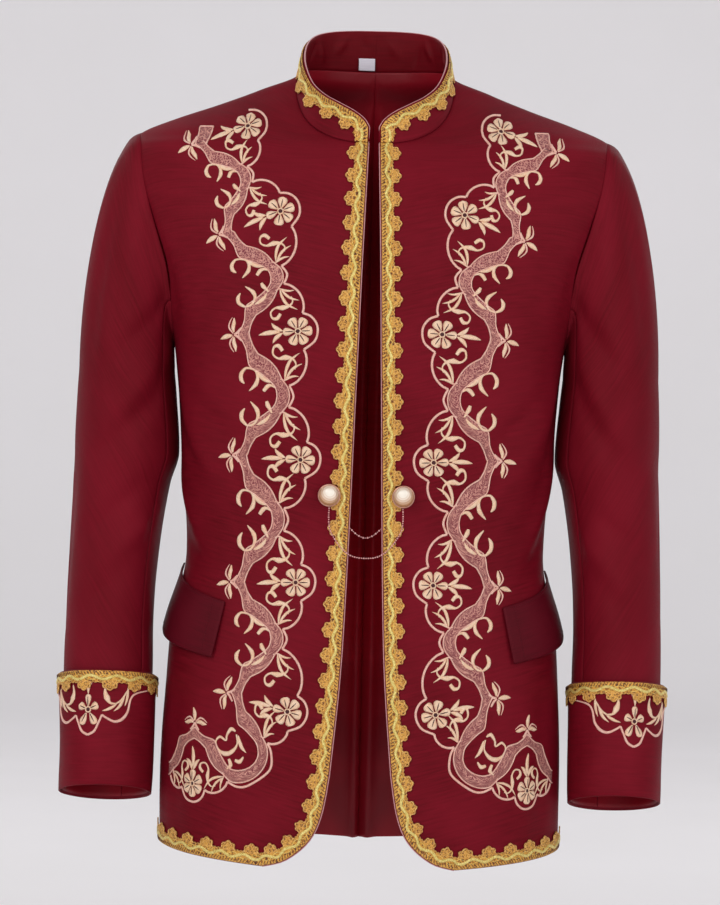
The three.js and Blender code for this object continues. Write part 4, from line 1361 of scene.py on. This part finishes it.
def turned(name, profile, side, paint, node, sides=72):
    """A turned piece on the button's place, from a closed profile of radius and height above the cloth."""
    spot = np.array([angle_at(BUTTON["x"], BUTTON["height"]), BUTTON["height"]])
    facing = normals(body, *spot)
    seat = body(*spot) + facing * BUTTON["lift"]
    first = unit(np.cross(facing, (0, 0, 1)))
    second = np.cross(facing, first)
    turn = np.linspace(0, 2 * math.pi, sides, endpoint=False)
    profile = np.asarray(profile, float)
    ring = first * np.cos(turn)[:, None] + second * np.sin(turn)[:, None]
    points = seat + ring[None] * profile[:, None, :1] + facing * profile[:, None, 1:]
    points = points.reshape(-1, 3) * (SIDES[side], 1, 1)
    faces = []
    for k in range(len(profile) - 1):
        for j in range(sides):
            quad = [
                k * sides + j, k * sides + (j + 1) % sides, (k + 1) * sides + (j + 1) % sides,
                (k + 1) * sides + j,
            ]
            faces.append(quad if SIDES[side] > 0 else quad[::-1])
    caps = [list(range(sides))[::-1], [(len(profile) - 1) * sides + j for j in range(sides)]]
    faces += caps if SIDES[side] > 0 else [cap[::-1] for cap in caps]
    made = new_object(name, points, faces)
    made.data.materials.append(paint)
    return worn(made, node)


# Painted highlight: each pearl is painted palest ivory round this spot and fades to tan away from it.
PEARL_LIGHT = (0.0345, -0.4082)  # x and height of each pearl's palest spot; its rings lie round it
pearl = Paint("pearl", Roughness=0.3, Coat_Weight=0.5, Coat_Roughness=0.06, Specular_IOR_Level=0.5)
place = pearl.node("TexCoord").outputs["Object"]
lustre = pearl.node("TexNoise", {"Vector": place, "Scale": 90, "Detail": 2}).outputs[0]
facing = pearl.node("LayerWeight", {"Blend": 0.42}).outputs["Facing"]
nacre_highlight = pearl.blend(lustre, rgb("fbeedb"), rgb("fff8ec"))
parts = pearl.node("SeparateXYZ", {0: place}).outputs
across = pearl.math("SUBTRACT", pearl.math("ABSOLUTE", parts[0]), PEARL_LIGHT[0])
rise = pearl.math("SUBTRACT", parts[2], PEARL_LIGHT[1])
squares = pearl.math("ADD", pearl.math("MULTIPLY", across, across), pearl.math("MULTIPLY", rise, rise))
ring = pearl.math("POWER", squares, 0.5)
ripple = pearl.math(
    "MULTIPLY", pearl.math("SINE", pearl.math("MULTIPLY", ring, 2 * math.pi / 0.0021)), 0.0011
)
low = pearl.node("MapRange", {0: pearl.math("ADD", ring, ripple), 1: 0.0035, 2: 0.0105}).outputs[0]
# The painted highlight fades in rings from ivory to tan.
nacre_highlight = pearl.blend(low, nacre_highlight, rgb("cf9c70"))
# Painted shade: the pearl turns brown towards its rim, where its face turns from the view.
pearl.feed("Base Color", pearl.blend(pearl.math("MULTIPLY", facing, 0.75), nacre_highlight, rgb("a5714a")))
gold_rim = Paint("gold_rim", Metallic=0.85, Roughness=0.3)
place = gold_rim.node("TexCoord").outputs["Object"]
wear = gold_rim.node("TexNoise", {"Vector": place, "Scale": 160, "Detail": 3}).outputs[0]
gold_rim.feed("Base Color", gold_rim.blend(wear, rgb("c98f7c"), rgb("f0c6b2")))
gold_rim.bump(wear, 0.15, 0.0002)

inner = BUTTON["radius"] - 1.2
swell = np.linspace(0, QUARTER, 9)[:-1]
rim_round = [(BUTTON["radius"] - 1.0 + 1.0 * math.cos(t), 1.2 + 1.0 * math.sin(t)) for t in swell]
rim_profile = [
    (0.5, 0), (BUTTON["radius"] - 0.4, 0), (BUTTON["radius"], 0.4), *rim_round, (inner + 0.1, 2.0),
    (inner - 0.3, 1.0), (0.5, 1.0),
]
bands = [(9.4, 1.3), (9.5, 2.2), (9.2, 2.9), (8.7, 3.15), (8.75, 3.5), (8.3, 4.2), (7.8, 4.45), (7.8, 4.8)]
crown = [(7.8 * math.cos(t), 4.8 + 3.0 * math.sin(t)) for t in np.linspace(0, QUARTER, 14)[1:-1]]
for side in SIDES:
    turned(f"rim_{side}", rim_profile, side, gold_rim.material, f"button_rim_{side}")
    turned(
        f"pearl_{side}", [(0.5, 1.3), *bands, *crown, (0.4, 7.78)], side, pearl.material,
        f"button_pearl_{side}",
    )

# ---------------------------------------------------------------- chain
# Two fine rope chains of rose-gold tone. The longer hangs from both pearls across the gap, the shorter
# is caught behind the front edges and crosses the gap above it.
CHAIN = {"radius": 0.9, "pitch": 2.15, "wire": 0.4}
STRANDS = {  # x and height from the middle to one end, and how far off the front's face it lies
    "lower": (
        [
            (0, -470.4), (8, -469.8), (14.7, -467.5), (20.8, -463), (26.5, -456.5), (32, -448),
            (34.6, -440.5), (35.2, -431), (34.9, -423.6),
        ],
        3.4,
    ),
    "upper": (
        [(0, -451.3), (7, -449), (13.5, -443.5), (20, -436), (25.5, -429)],
        -(CLOTH + SEAM_GAP + CHAIN["radius"]),
    ),
}
linking = Grower(
    "chain_links", {
        "Pitch": "Float", "Radius": "Float", "Wire": "Float", "Turn": "Float", "Material": "Material"
    }
)
line = linking.grow("GeometryNodeMeshToCurve", {0: linking.given["Geometry"]}).outputs[0]
steps = linking.grow("GeometryNodeCurveToPoints", {0: line, "Length": linking.given["Pitch"]}, mode="LENGTH")
loop = linking.grow(
    "GeometryNodeCurvePrimitiveCircle", {"Resolution": 12, "Radius": linking.given["Radius"]}
).outputs[0]
longer = linking.grow(
    "GeometryNodeTransform", {0: loop, "Rotation": (QUARTER, 0, 0), "Scale": (1, 1, 1.45)}
).outputs[0]
wire = linking.grow(
    "GeometryNodeCurvePrimitiveCircle", {"Resolution": 6, "Radius": linking.given["Wire"]}
).outputs[0]
link = linking.grow("GeometryNodeCurveToMesh", {0: longer, 1: wire}).outputs[0]
placed = linking.grow(
    "GeometryNodeInstanceOnPoints",
    {"Points": steps.outputs["Points"], "Instance": link, "Rotation": steps.outputs["Rotation"]},
).outputs[0]
index = linking.grow("GeometryNodeInputIndex").outputs[0]
turned_by = linking.grow(
    "ShaderNodeMath", {0: index, 1: linking.given["Turn"]}, operation="MULTIPLY"
).outputs[0]
spin = linking.grow("ShaderNodeCombineXYZ", {2: turned_by}).outputs[0]
twisted = linking.grow("GeometryNodeRotateInstances", {0: placed, "Rotation": spin}).outputs[0]
linking.finish(twisted)

rose_gold = Paint("rose_gold", Metallic=0.3, Roughness=0.3)
place = rose_gold.node("TexCoord").outputs["Object"]
tone = rose_gold.node("TexNoise", {"Vector": place, "Scale": 600, "Detail": 1}).outputs[0]
rose_gold.feed("Base Color", rose_gold.blend(tone, rgb("d08486"), rgb("fcc8c4")))
rose_gold.bump(tone, 0.2, 0.0002)
for name, (rows, lift) in STRANDS.items():
    rows = np.array(rows, float)
    angles = angle_at(rows[:, 0], rows[:, 1])
    halves = []
    for side, sign in SIDES.items():
        spots = on_body(side, angles, rows[:, 1], lift)
        halves.append(np.stack([sign * rows[:, 0], spots[:, 1], rows[:, 1]], -1))
    halves[0][0] = halves[1][0] = (halves[0][0] + halves[1][0]) / 2
    route = evenly(spline(np.concatenate([halves[1][::-1], halves[0][1:]]), 12), 120)
    made = linking.run(
        f"rope_chain_{name}",
        [route],
        Pitch=CHAIN["pitch"] * 0.001,
        Radius=(CHAIN["radius"] - CHAIN["wire"]) * 0.001,
        Wire=CHAIN["wire"] * 0.001,
        Turn=QUARTER,
        Material=rose_gold.material,
    )
    worn(made, f"chain_{name}")

# ---------------------------------------------------------------- embroidery
# Satin-stitched flowers, leaves and scrolls in pale gold thread, outlines in peach, and a winding
# ribbon filled with a net of mauve stitches, worked through both fronts and round both cuffs.
SQUARE = 0.945  # mm to a square of the chart
# The flat chart of a front: its heights, how far round the body it goes and how wide it is, in mm.
CHART = {"low": -765, "high": 10, "rows": 160, "columns": 260, "last_angle": QUARTER * 1.06, "width": 300}
SEAM_CLEAR = 2  # mm of bare cloth before the side seam
SMALL = 0.92  # size of the flower at the hem to that of the others
LOBE_SWELL = -0.23  # of the outline between two cusps, to its length
CUSP = (0.5, 11)  # where the outline comes down beside each bend, in squares
CUFF_FLOWER = (0, -632)
# Places on each front, as x and height in mm: flowers, the three-leaf knots and the bends of the ribbon.
FLOWERS = [(122, -58.5), (87, -143.5), (68, -257.5), (63, -378.5), (65, -495), (70, -617)]
KNOTS = [(176, -78.5), (146, -166.5), (129, -261.5), (129, -375.5), (128, -496.5), (128.5, -601.5)]
BENDS = [(116, -113), (84, -200), (74.5, -319), (77, -435.5), (76, -555), (88, -657)]
HEM_FLOWER, HEM_KNOT, HEM_BEND, HEART = (160, -690), (159, -631.5), (118, -686), (127.5, -648)


class Chart:
    """Flat places on a front: mm of cloth from the middle of the body, and height, put on the worn cloth."""

    def __init__(self, side):
        self.side = side
        self.heights = np.linspace(CHART["low"], CHART["high"], CHART["rows"])
        self.turns = angles = np.linspace(0, CHART["last_angle"], CHART["columns"])
        grid = body(angles[None, :], self.heights[:, None])
        reach = np.linalg.norm(np.diff(grid, axis=1), axis=2)
        self.reach = np.concatenate([np.zeros((len(self.heights), 1)), np.cumsum(reach, 1)], 1)
        self.widths = np.linspace(0, CHART["width"], CHART["width"] + 1)
        self.angles = np.array([np.interp(self.widths, row, angles) for row in self.reach])
        self.seam = np.array([np.interp(QUARTER, angles, row) for row in self.reach]) - SEAM_CLEAR

    def points(self, across, height, lift):
        last = CHART["rows"] - 1
        row = np.clip((height - CHART["low"]) / (CHART["high"] - CHART["low"]) * last, 0, last - 0.001)
        angle = looked_up(self.angles, row, np.clip(across, 0, CHART["width"] - 0.001))
        return on_body(self.side, angle, height, lift)

    def before_seam(self, places):
        """True for flat places on the front, short of the side seam."""
        return places[..., 0] < np.interp(places[..., 1], self.heights, self.seam)

    def flat(self, places):
        """Places given as x and height, as flat ones."""
        angles = on_front(places)
        rows = np.interp(angles[:, 1], self.heights, np.arange(CHART["rows"]))
        across = [np.interp(a, self.turns, self.reach[int(round(r))]) for (a, _), r in zip(angles, rows)]
        return np.stack([across, angles[:, 1]], -1)


class CuffChart:
    """Flat places on a cuff: mm round it from the flower's own meridian, and height."""

    meridian, mm_to_turn = 72, 1 / 0.82

    def __init__(self, side):
        self.side = side

    def points(self, across, height, lift):
        return on_cuff(self.side, self.meridian + across * self.mm_to_turn, height, lift)


BOLD = {"gold": 1.14, "peach": 1.2, "shade": 1.0}


class Needle:
    """Works a motif on a chart, from its own centre: a is outwards in squares, b is up, and both may turn."""

    def __init__(self, chart, work, centre, turn=0.0, reach=1.0, rise=1.0, bold=1.0):
        self.chart, self.work, self.centre, self.bold = chart, work, np.asarray(centre, float), bold
        c, s = math.cos(turn), math.sin(turn)
        self.axes = np.array([[c * reach, s * reach], [-s * rise, c * rise]]) * SQUARE

    def at(self, spots):
        return np.asarray(spots, float) @ self.axes + self.centre

    def sew(self, thread, spots, widths, height=0.8, fine=6, over=0.05):
        """One stroke through places, with a half width at each of them, in squares."""
        path = spline(self.at(spots), fine)
        steps = np.linspace(0, 1, len(path))
        wide = np.interp(steps, np.linspace(0, 1, len(widths)), widths) * SQUARE * self.bold * BOLD[thread]
        profile = (0, 1, 0) if max(widths) < 0.6 else (0, 0.8, 1, 0.8, 0)
        self.work[thread].append(
            raised(self.chart, path, np.maximum(wide, 0.12), height, over, profile, sink=0.35)
        )

    def leaf(self, start, end, bend=0.0, wide=2.2, thread="gold"):
        start, end = np.array(start, float), np.array(end, float)
        aside = np.array([-(end - start)[1], (end - start)[0]]) * bend
        spots = [start, start * 0.7 + end * 0.3 + aside * 0.8, start * 0.35 + end * 0.65 + aside, end]
        self.sew(thread, spots, [0.4, 0.8 * wide, wide, 0.75 * wide, 0.1])

    def petal(self, turn, reach, wide, thread="gold"):
        """A round-ended petal with a dark vein worked over it."""
        c, s = math.cos(math.radians(turn)), math.sin(math.radians(turn))
        along = np.array([0.24, 0.42, 0.62, 0.82, 0.95, 1.0]) * reach
        spots = np.stack([along * c, along * s], -1)
        self.sew(thread, spots, np.array([0.18, 0.55, 0.9, 1.0, 0.72, 0.25]) * wide, height=0.95)
        vein = np.array([0.3, 0.55, 0.84]) * reach
        self.sew(
            "shade", np.stack([vein * c, vein * s], -1), [0.6, 0.85, 0.4], height=0.25, fine=4, over=0.95
        )

    def heart(self):
        """The dark eye of a flower in its ring."""
        ring = np.linspace(0, 2 * math.pi, 13)
        self.sew(
            "gold", np.stack([2.7 * np.cos(ring), 2.7 * np.sin(ring)], -1), [0.8, 0.8], height=1.0, fine=2
        )
        self.sew("shade", [(-1.5, 0), (1.5, 0)], [1.2, 1.7, 1.2], height=0.9)

    def flower(self):
        """Five round petals, a sixth into the stem, and a spray of three leaves."""
        for turn in (62, 121, 180, 239, 298):
            self.petal(turn, 14.6, 5.2)
        self.petal(0, 15.2, 4.2)
        self.heart()
        self.leaf((18.5, 0), (41, -2.0), 0.04, 2.6)
        self.leaf((15.5, 1.0), (27, 9.5), -0.1, 2.3)
        self.leaf((15.5, -1.0), (26.5, -11), 0.1, 2.3)

    def knot(self):
        """Three leaves where the ribbon comes nearest to the side, two of them in a second outline."""
        self.leaf((1.5, -0.5), (16, -3.5), 0.05, 2.7)
        for up in (1, -1):
            self.sew(
                "gold", [(-0.5, 2.5 * up), (0.5, 7 * up), (-0.8, 12 * up), (-1.5, 17 * up)],
                [0.6, 2.3, 2.2, 0.3],
            )
            self.sew(
                "peach", [(0.5, 1.5 * up), (4.8, 7 * up), (4.2, 12 * up), (0.6, 17.5 * up)],
                [0.8, 1.0, 0.8, 0.3],
            )
            self.sew("peach", [(-0.5, 0.5 * up), (-4, 2 * up), (-8.5, 6.5 * up)], [0.9, 1.4, 0.9])

    def hooks(self, upper):
        """A horseshoe scroll, a leaf along the ribbon and a bud, in the upper or lower half of a hollow."""
        if upper:
            self.sew(
                "gold", [(45, 12), (48.3, 16), (48.5, 22), (44.5, 27.5), (40, 28)], [0.5, 2.4, 2.4, 1.4, 1.1]
            )
            self.sew(
                "gold", [(40, 28), (34.5, 26), (31.8, 20), (33.2, 12), (40, 4.5)], [1.1, 1.3, 1.7, 2.5, 0.5]
            )
            self.leaf((33.5, 26.3), (17.5, 13.5), 0.1, 2.5)
            self.sew("gold", [(14, 8.5), (18, 10.8), (21.8, 9.6), (25.5, 4.8)], [0.8, 1.5, 2.4, 1.9])
        else:
            self.sew("gold", [(44, 13.5), (47.2, 19), (46.8, 25.5), (41.5, 31)], [0.6, 2.5, 2.3, 1.2])
            self.sew(
                "gold", [(41.5, 31), (35, 29.8), (30.6, 23), (31.4, 15), (38.3, 6.3)],
                [1.2, 1.4, 1.8, 2.5, 0.5],
            )
            self.leaf((31.5, 30), (18, 18.5), -0.1, 2.5)
            self.sew("gold", [(16.5, 17.5), (19, 13), (21, 9.5), (22.2, 5.5)], [1.0, 2.0, 2.6, 1.5])

    def fan(self):
        """Three slender leaves beside a bend, and a scroll with a bud that grows out of them."""
        self.leaf((5, 16.5), (-8.8, 45), -0.14, 1.9)
        self.leaf((4, 17), (-11.5, 34), -0.12, 1.7)
        self.leaf((5, 16), (-8.5, 20.8), -0.12, 1.4)
        self.sew("peach", [(9.5, 17.6), (5, 16.5), (0, 21)], [0.7, 0.9, 0.8])
        scroll = [
            (-4.4, 28), (-5.3, 34), (-1.5, 38.8), (5, 39.8), (12, 38.6), (17.2, 43), (16.5, 50), (12, 51.5),
            (8, 46.4),
        ]
        self.sew("gold", scroll, [0.8, 0.9, 1.4, 3.0, 1.2, 1.1, 1.3, 2.3, 1.9])


def lobe(start, end, swell, count=11):
    """A rounded outline between two cusps, in flat mm, that swells to its left."""
    start, end = np.array(start, float), np.array(end, float)
    t = np.linspace(0, 1, count)[:, None]
    aside = np.array([[-(end - start)[1], (end - start)[0]]])
    return start + (end - start) * t + aside * swell * (1 - (2 * t - 1) ** 2) ** 0.8


def thread_paint(name, dark, plain, lit, roughness=0.38):
    """Satin stitch: fine threads laid side by side across each stroke, with a silky glint, painted shade in the
    grooves between the threads and painted highlight along their crowns.
    """
    paint = Paint(name, Sheen_Weight=0.3, Sheen_Roughness=0.3, Specular_IOR_Level=0.55)
    flat = paint.node("SeparateXYZ", {0: paint.node("UVMap", uv_map="cloth").outputs[0]})
    slant = paint.math(
        "ADD", flat.outputs[1], paint.math("MULTIPLY", paint.math("ABSOLUTE", flat.outputs[0]), 0.5)
    )
    threads = paint.math("SINE", paint.math("MULTIPLY", slant, 2 * math.pi / 0.00085))
    uneven = paint.node(
        "TexNoise", {"Vector": paint.node("TexCoord").outputs["Object"], "Scale": 260, "Detail": 2}
    ).outputs[0]
    tone = paint.node(
        "MapRange", {0: paint.math("ADD", paint.math("MULTIPLY", threads, 0.16), uneven), 1: 0.25, 2: 0.75}
    )
    ground = paint.blend(tone.outputs[0], rgb(plain), rgb(lit))
    # Painted shade in the groove between each two threads.
    groove_shade = paint.node("MapRange", {0: threads, 1: -1, 2: -0.5})
    paint.feed("Base Color", paint.blend(groove_shade.outputs[0], rgb(dark), ground))
    paint.feed(
        "Roughness", paint.node("MapRange", {0: uneven, 3: roughness - 0.08, 4: roughness + 0.1}).outputs[0]
    )
    paint.bump(threads, 0.35, 0.0003)
    return paint.material


def net_paint():
    """The ribbon's filling: a slanting net of dusty pink stitches that lets the burgundy through."""
    paint = Paint("net_filling", Roughness=0.55, Sheen_Weight=0.1)
    flat = paint.node("UVMap", uv_map="cloth").outputs[0]
    slant = paint.node(
        "Mapping", {"Vector": flat, "Rotation": (0, 0, 0.6), "Scale": (300, 640, 1)}
    ).outputs[0]
    cells = paint.node(
        "TexVoronoi", {"Vector": slant, "Scale": 1}, feature="DISTANCE_TO_EDGE"
    ).outputs["Distance"]
    stitch = paint.node("MapRange", {0: cells, 1: 0.16, 2: 0.05})
    uneven = paint.node("TexNoise", {"Vector": flat, "Scale": 90, "Detail": 2}).outputs[0]
    pink = paint.blend(uneven, rgb("b0655f"), rgb("f0b4a0"))
    paint.feed("Base Color", paint.blend(stitch.outputs[0], rgb("7a2030"), pink))
    paint.bump(stitch.outputs[0], 0.6, 0.0004)
    return paint.material


THREADS = {
    "gold": thread_paint("thread_pale_gold", "c88a60", "facba2", "ffe6ca"),
    "peach": thread_paint("thread_peach", "c87a68", "f2b39e", "ffd9c8"),
    "shade": thread_paint("thread_burgundy", "2a0509", "3a0a10", "4a1016", 0.6),
}
net_filling = net_paint()


def worked(name, work):
    for thread, strokes in work.items():
        if strokes:
            gathered(f"embroidery_{thread}_{name}", strokes, THREADS[thread])


# The ribbon's two edges from the middle of a bend up to the knot, in squares from the bend's inner edge.
# The inner edge is scalloped: each arc ends in a cusp.
HOLLOW = [(12, 0), (13.5, 8), (19, 15), (31, 24.5), (39.5, 29.5), (42, 37), (43.5, 46), (47.5, 55), (52, 61)]
SCALLOPS = [
    [(0, 0), (1.6, 8.5), (8, 17.6)], [(8, 17.6), (13.2, 28), (21, 36.5), (32, 43)],
    [(32, 43), (37.5, 52), (41, 62)],
]
KNOT_AT = (57, 62)  # squares from a bend's inner edge to the knots above and below


def both_edges(needle, samples=26):
    """A half bend's two edges, from the knot to the bend."""
    inner = np.concatenate(
        [spline(needle.at(arc), 6)[:-1] for arc in SCALLOPS] + [needle.at(SCALLOPS[-1][-1:])]
    )
    pair = [evenly(line, samples) for line in (spline(needle.at(HOLLOW), 6), inner)]
    return np.stack(pair, 1)[::-1]


for side in SIDES:
    chart = Chart(side)
    work = {"gold": [], "peach": [], "shade": []}
    flowers, knots, bends = (chart.flat(places) for places in (FLOWERS, KNOTS, BENDS))
    edges, needles = [], []
    for number, bend in enumerate(bends[:5]):
        above, below = knots[number], knots[number + 1]
        middle, span = (above + below) / 2, np.linalg.norm(above - below)
        turn = math.atan2(above[1] - below[1], above[0] - below[0]) - math.pi / 2
        reach = np.linalg.norm(bend - middle) / (KNOT_AT[0] * SQUARE)
        rise = span / (2 * KNOT_AT[1] * SQUARE)
        centre = middle - np.array([math.cos(turn), math.sin(turn)]) * KNOT_AT[0] * SQUARE * reach
        upper, lower = (
            Needle(chart, work, centre, turn, reach, way * rise, 0.5 + 0.5 * rise) for way in (1, -1)
        )
        for needle in (upper, lower):
            needle.hooks(needle is upper)
            needle.fan()
        edges += [both_edges(upper), both_edges(lower)[::-1][1:]]
        needles += [upper, lower]
    corner, hem_bend, hem_knot = bends[5], *chart.flat([HEM_BEND, HEM_KNOT])
    reach, rise = (knots[5] - corner) / (np.array(KNOT_AT) * SQUARE)
    needles.append(Needle(chart, work, corner, 0, reach, rise, 0.95))
    needles[-1].fan()
    half = both_edges(needles[-1])
    edges.append(
        half + (edges[-1][-1] - half[0]) * np.clip(1 - np.arange(len(half)) / 12, 0, 1)[:, None, None]
    )
    bow = np.linspace(0, math.pi / 2, 15)[1:-1, None]
    out = corner + (12 * SQUARE * reach, 0)
    high = hem_bend + (0, 12 * SQUARE)
    arcs = [
        first + (last - first) * np.concatenate([1 - np.cos(bow), np.sin(bow)], 1) for first, last in (
            (out, high), (corner, hem_bend)
        )
    ]
    edges.append(np.stack(arcs, 1))
    rise = (hem_knot[0] - hem_bend[0]) / (KNOT_AT[1] * SQUARE)
    reach = (hem_knot[1] - hem_bend[1]) / (KNOT_AT[0] * SQUARE)
    towards = Needle(chart, work, hem_bend, math.pi / 2, reach, -rise, 0.8)
    beyond = Needle(chart, work, hem_knot * (2, 0) - hem_bend * (1, -1), math.pi / 2, reach, rise, 0.8)
    towards.fan()
    beyond.fan()
    edges += [both_edges(towards)[::-1], both_edges(beyond)[1:-2]]
    start = Needle(chart, work, knots[0])
    top = [
        spline(start.at(line), 5)[:-1] for line in (
            [(-8.6, 21), (-7, 10), (-5, 0)], [(-23, 20.5), (-19, 7), (-16, 0)]
        )
    ]
    edges.insert(0, np.stack(top, 1))
    edges = np.concatenate(edges)
    edges = edges[chart.before_seam(edges).all(1)]

    share = np.linspace(0, 1, 7)[None, :, None]
    spots = edges[:, :1] * (1 - share) + edges[:, 1:] * share
    grids = [chart.points(spots[..., 0], spots[..., 1], lift + 0 * spots[..., 0]) for lift in (0.32, -0.3)]
    fill = shell(f"embroidery_net_{side}", *grids)
    fill.data.materials.append(net_filling)
    worn(fill)
    for border in (edges[:, 0], edges[:, 1], edges[0]):
        line = evenly(border, max(4, int(lengths(border)[-1] / 1.3)))
        work["peach"].append(raised(chart, line, 0.8, 0.8, 0.2, sink=0.4))

    for flower, knot in zip([*flowers, *chart.flat([HEM_FLOWER])], [*knots, hem_knot]):
        turn = math.atan2(*(knot - flower)[::-1])
        small = SMALL if flower[1] < -680 else 1
        Needle(chart, work, flower, turn, small, small).flower()
        Needle(chart, work, knot, turn, small, small).knot()
    loop = Needle(chart, work, chart.flat([HEART])[0])
    bow = [
        (-10, 11), (-5, 13), (-0.5, 7), (0.7, 1.5), (7.5, 4.7), (12.2, -0.4), (9, -8), (1.5, -12),
        (-6.3, -9.4), (-12, -1.7), (-11, 8),
    ]
    loop.sew("gold", bow, [0.8, 2.2, 1.2, 1.0, 1.4, 0.9, 1.0, 2.6, 2.2, 0.9, 0.9])
    loop.leaf((-13, 7), (-22, -10), 0.1, 2.2)
    loop.sew("gold", [(-19, -14), (-15, -19), (-10, -18)], [0.7, 2.3, 1.6])
    loop.sew("gold", [(-1, -27), (-5, -23), (-3, -17)], [0.7, 2.3, 1.6])

    outline = []
    around = [(-5.5, 18), (-13.5, 14.5), (-19, 7), (-19.8, -2), (-16, -11), (-5.5, -18.5)]
    for number, (flower, knot) in enumerate(zip(flowers, knots)):
        turn = math.atan2(*(knot - flower)[::-1])
        outline.append(spline(Needle(chart, work, flower, turn).at(around), 4))
        above, below = needles[2 * number], needles[min(2 * number + 1, len(needles) - 1)]
        outline.append(lobe(outline[-1][-1], above.at([CUSP])[0], LOBE_SWELL))
        if number < 5:
            outline.append(spline(np.concatenate([above.at([CUSP, (-3.8, 0)]), below.at([CUSP])]), 6))
            turn = math.atan2(*(knots[number + 1] - flowers[number + 1])[::-1])
            outline.append(
                lobe(
                    outline[-1][-1], Needle(chart, work, flowers[number + 1], turn).at(around[:1])[0],
                    LOBE_SWELL,
                )
            )
    corner_line = [corner + (-3.6, 0), corner + (-2, -16), hem_bend + (-14, -1.5), hem_bend + (-2, -3.8)]
    outline.append(spline(np.concatenate([outline[-1][-1:], corner_line, towards.at([CUSP])]), 6))
    turn = math.atan2(*(hem_knot - chart.flat([HEM_FLOWER])[0])[::-1])
    ring = Needle(chart, work, chart.flat([HEM_FLOWER])[0], turn, SMALL, SMALL).at(around)
    last = beyond.at([CUSP])[0]
    outline += [lobe(outline[-1][-1], ring[0], LOBE_SWELL), spline(ring, 4), lobe(ring[-1], last, LOBE_SWELL)]
    for piece in outline:
        path = evenly(piece[chart.before_seam(piece)], max(4, int(lengths(piece)[-1] / 1.5)))
        work["peach"].append(raised(chart, path, 1.45 * SQUARE, 0.85, 0.05, sink=0.35))
    worked(f"front_{side}", work)

    chart = CuffChart(side)
    work = {"gold": [], "peach": [], "shade": []}
    flower = Needle(chart, work, CUFF_FLOWER)
    for turn, reach, wide in (
        (90, 15.5, 3.4), (25, 11.5, 4.4), (155, 11.5, 4.4), (-62, 17, 4.0), (-118, 17, 4.0)
    ):
        flower.petal(turn, reach, wide)
    flower.heart()
    flower.leaf((0, 16), (5, 29), 0.1, 1.1)
    flower.leaf((0, 16), (-5, 29), -0.1, 1.1)
    for way in (1, -1):
        spray = Needle(chart, work, CUFF_FLOWER, reach=way)
        spray.sew(
            "gold", [(18.6, 26), (17.5, 19), (19.4, 12.5), (23, 7), (29, 6.3)], [0.4, 1.6, 3.3, 1.4, 0.9]
        )
        spray.sew("gold", [(29, 6.3), (35, 11), (40.8, 20)], [0.9, 1.1, 0.9])
        spray.leaf((29.5, 5.8), (14.7, -1.6), 0.06, 1.7)
        spray.leaf((38, 16), (26.6, -1.6), 0.1, 1.8)
        spray.leaf((41.5, 24), (38.5, 4.5), 0.06, 1.7)
        border = [(14.7, -5.6), (20, -9), (28, -12), (36, -9), (42, -1), (45, 12), (51, 18.5), (66, 23)]
        spray.sew("peach", border, [1.1, 1.1, 1.3, 1.6, 1.3, 1.1, 1.0, 0.6])
        spray.sew("peach", [(14.7, -5.6), (11.5, -13), (7, -22), (0, -26)], [1.1, 1.1, 1.3, 1.3])
    worked(f"cuff_{side}", work)
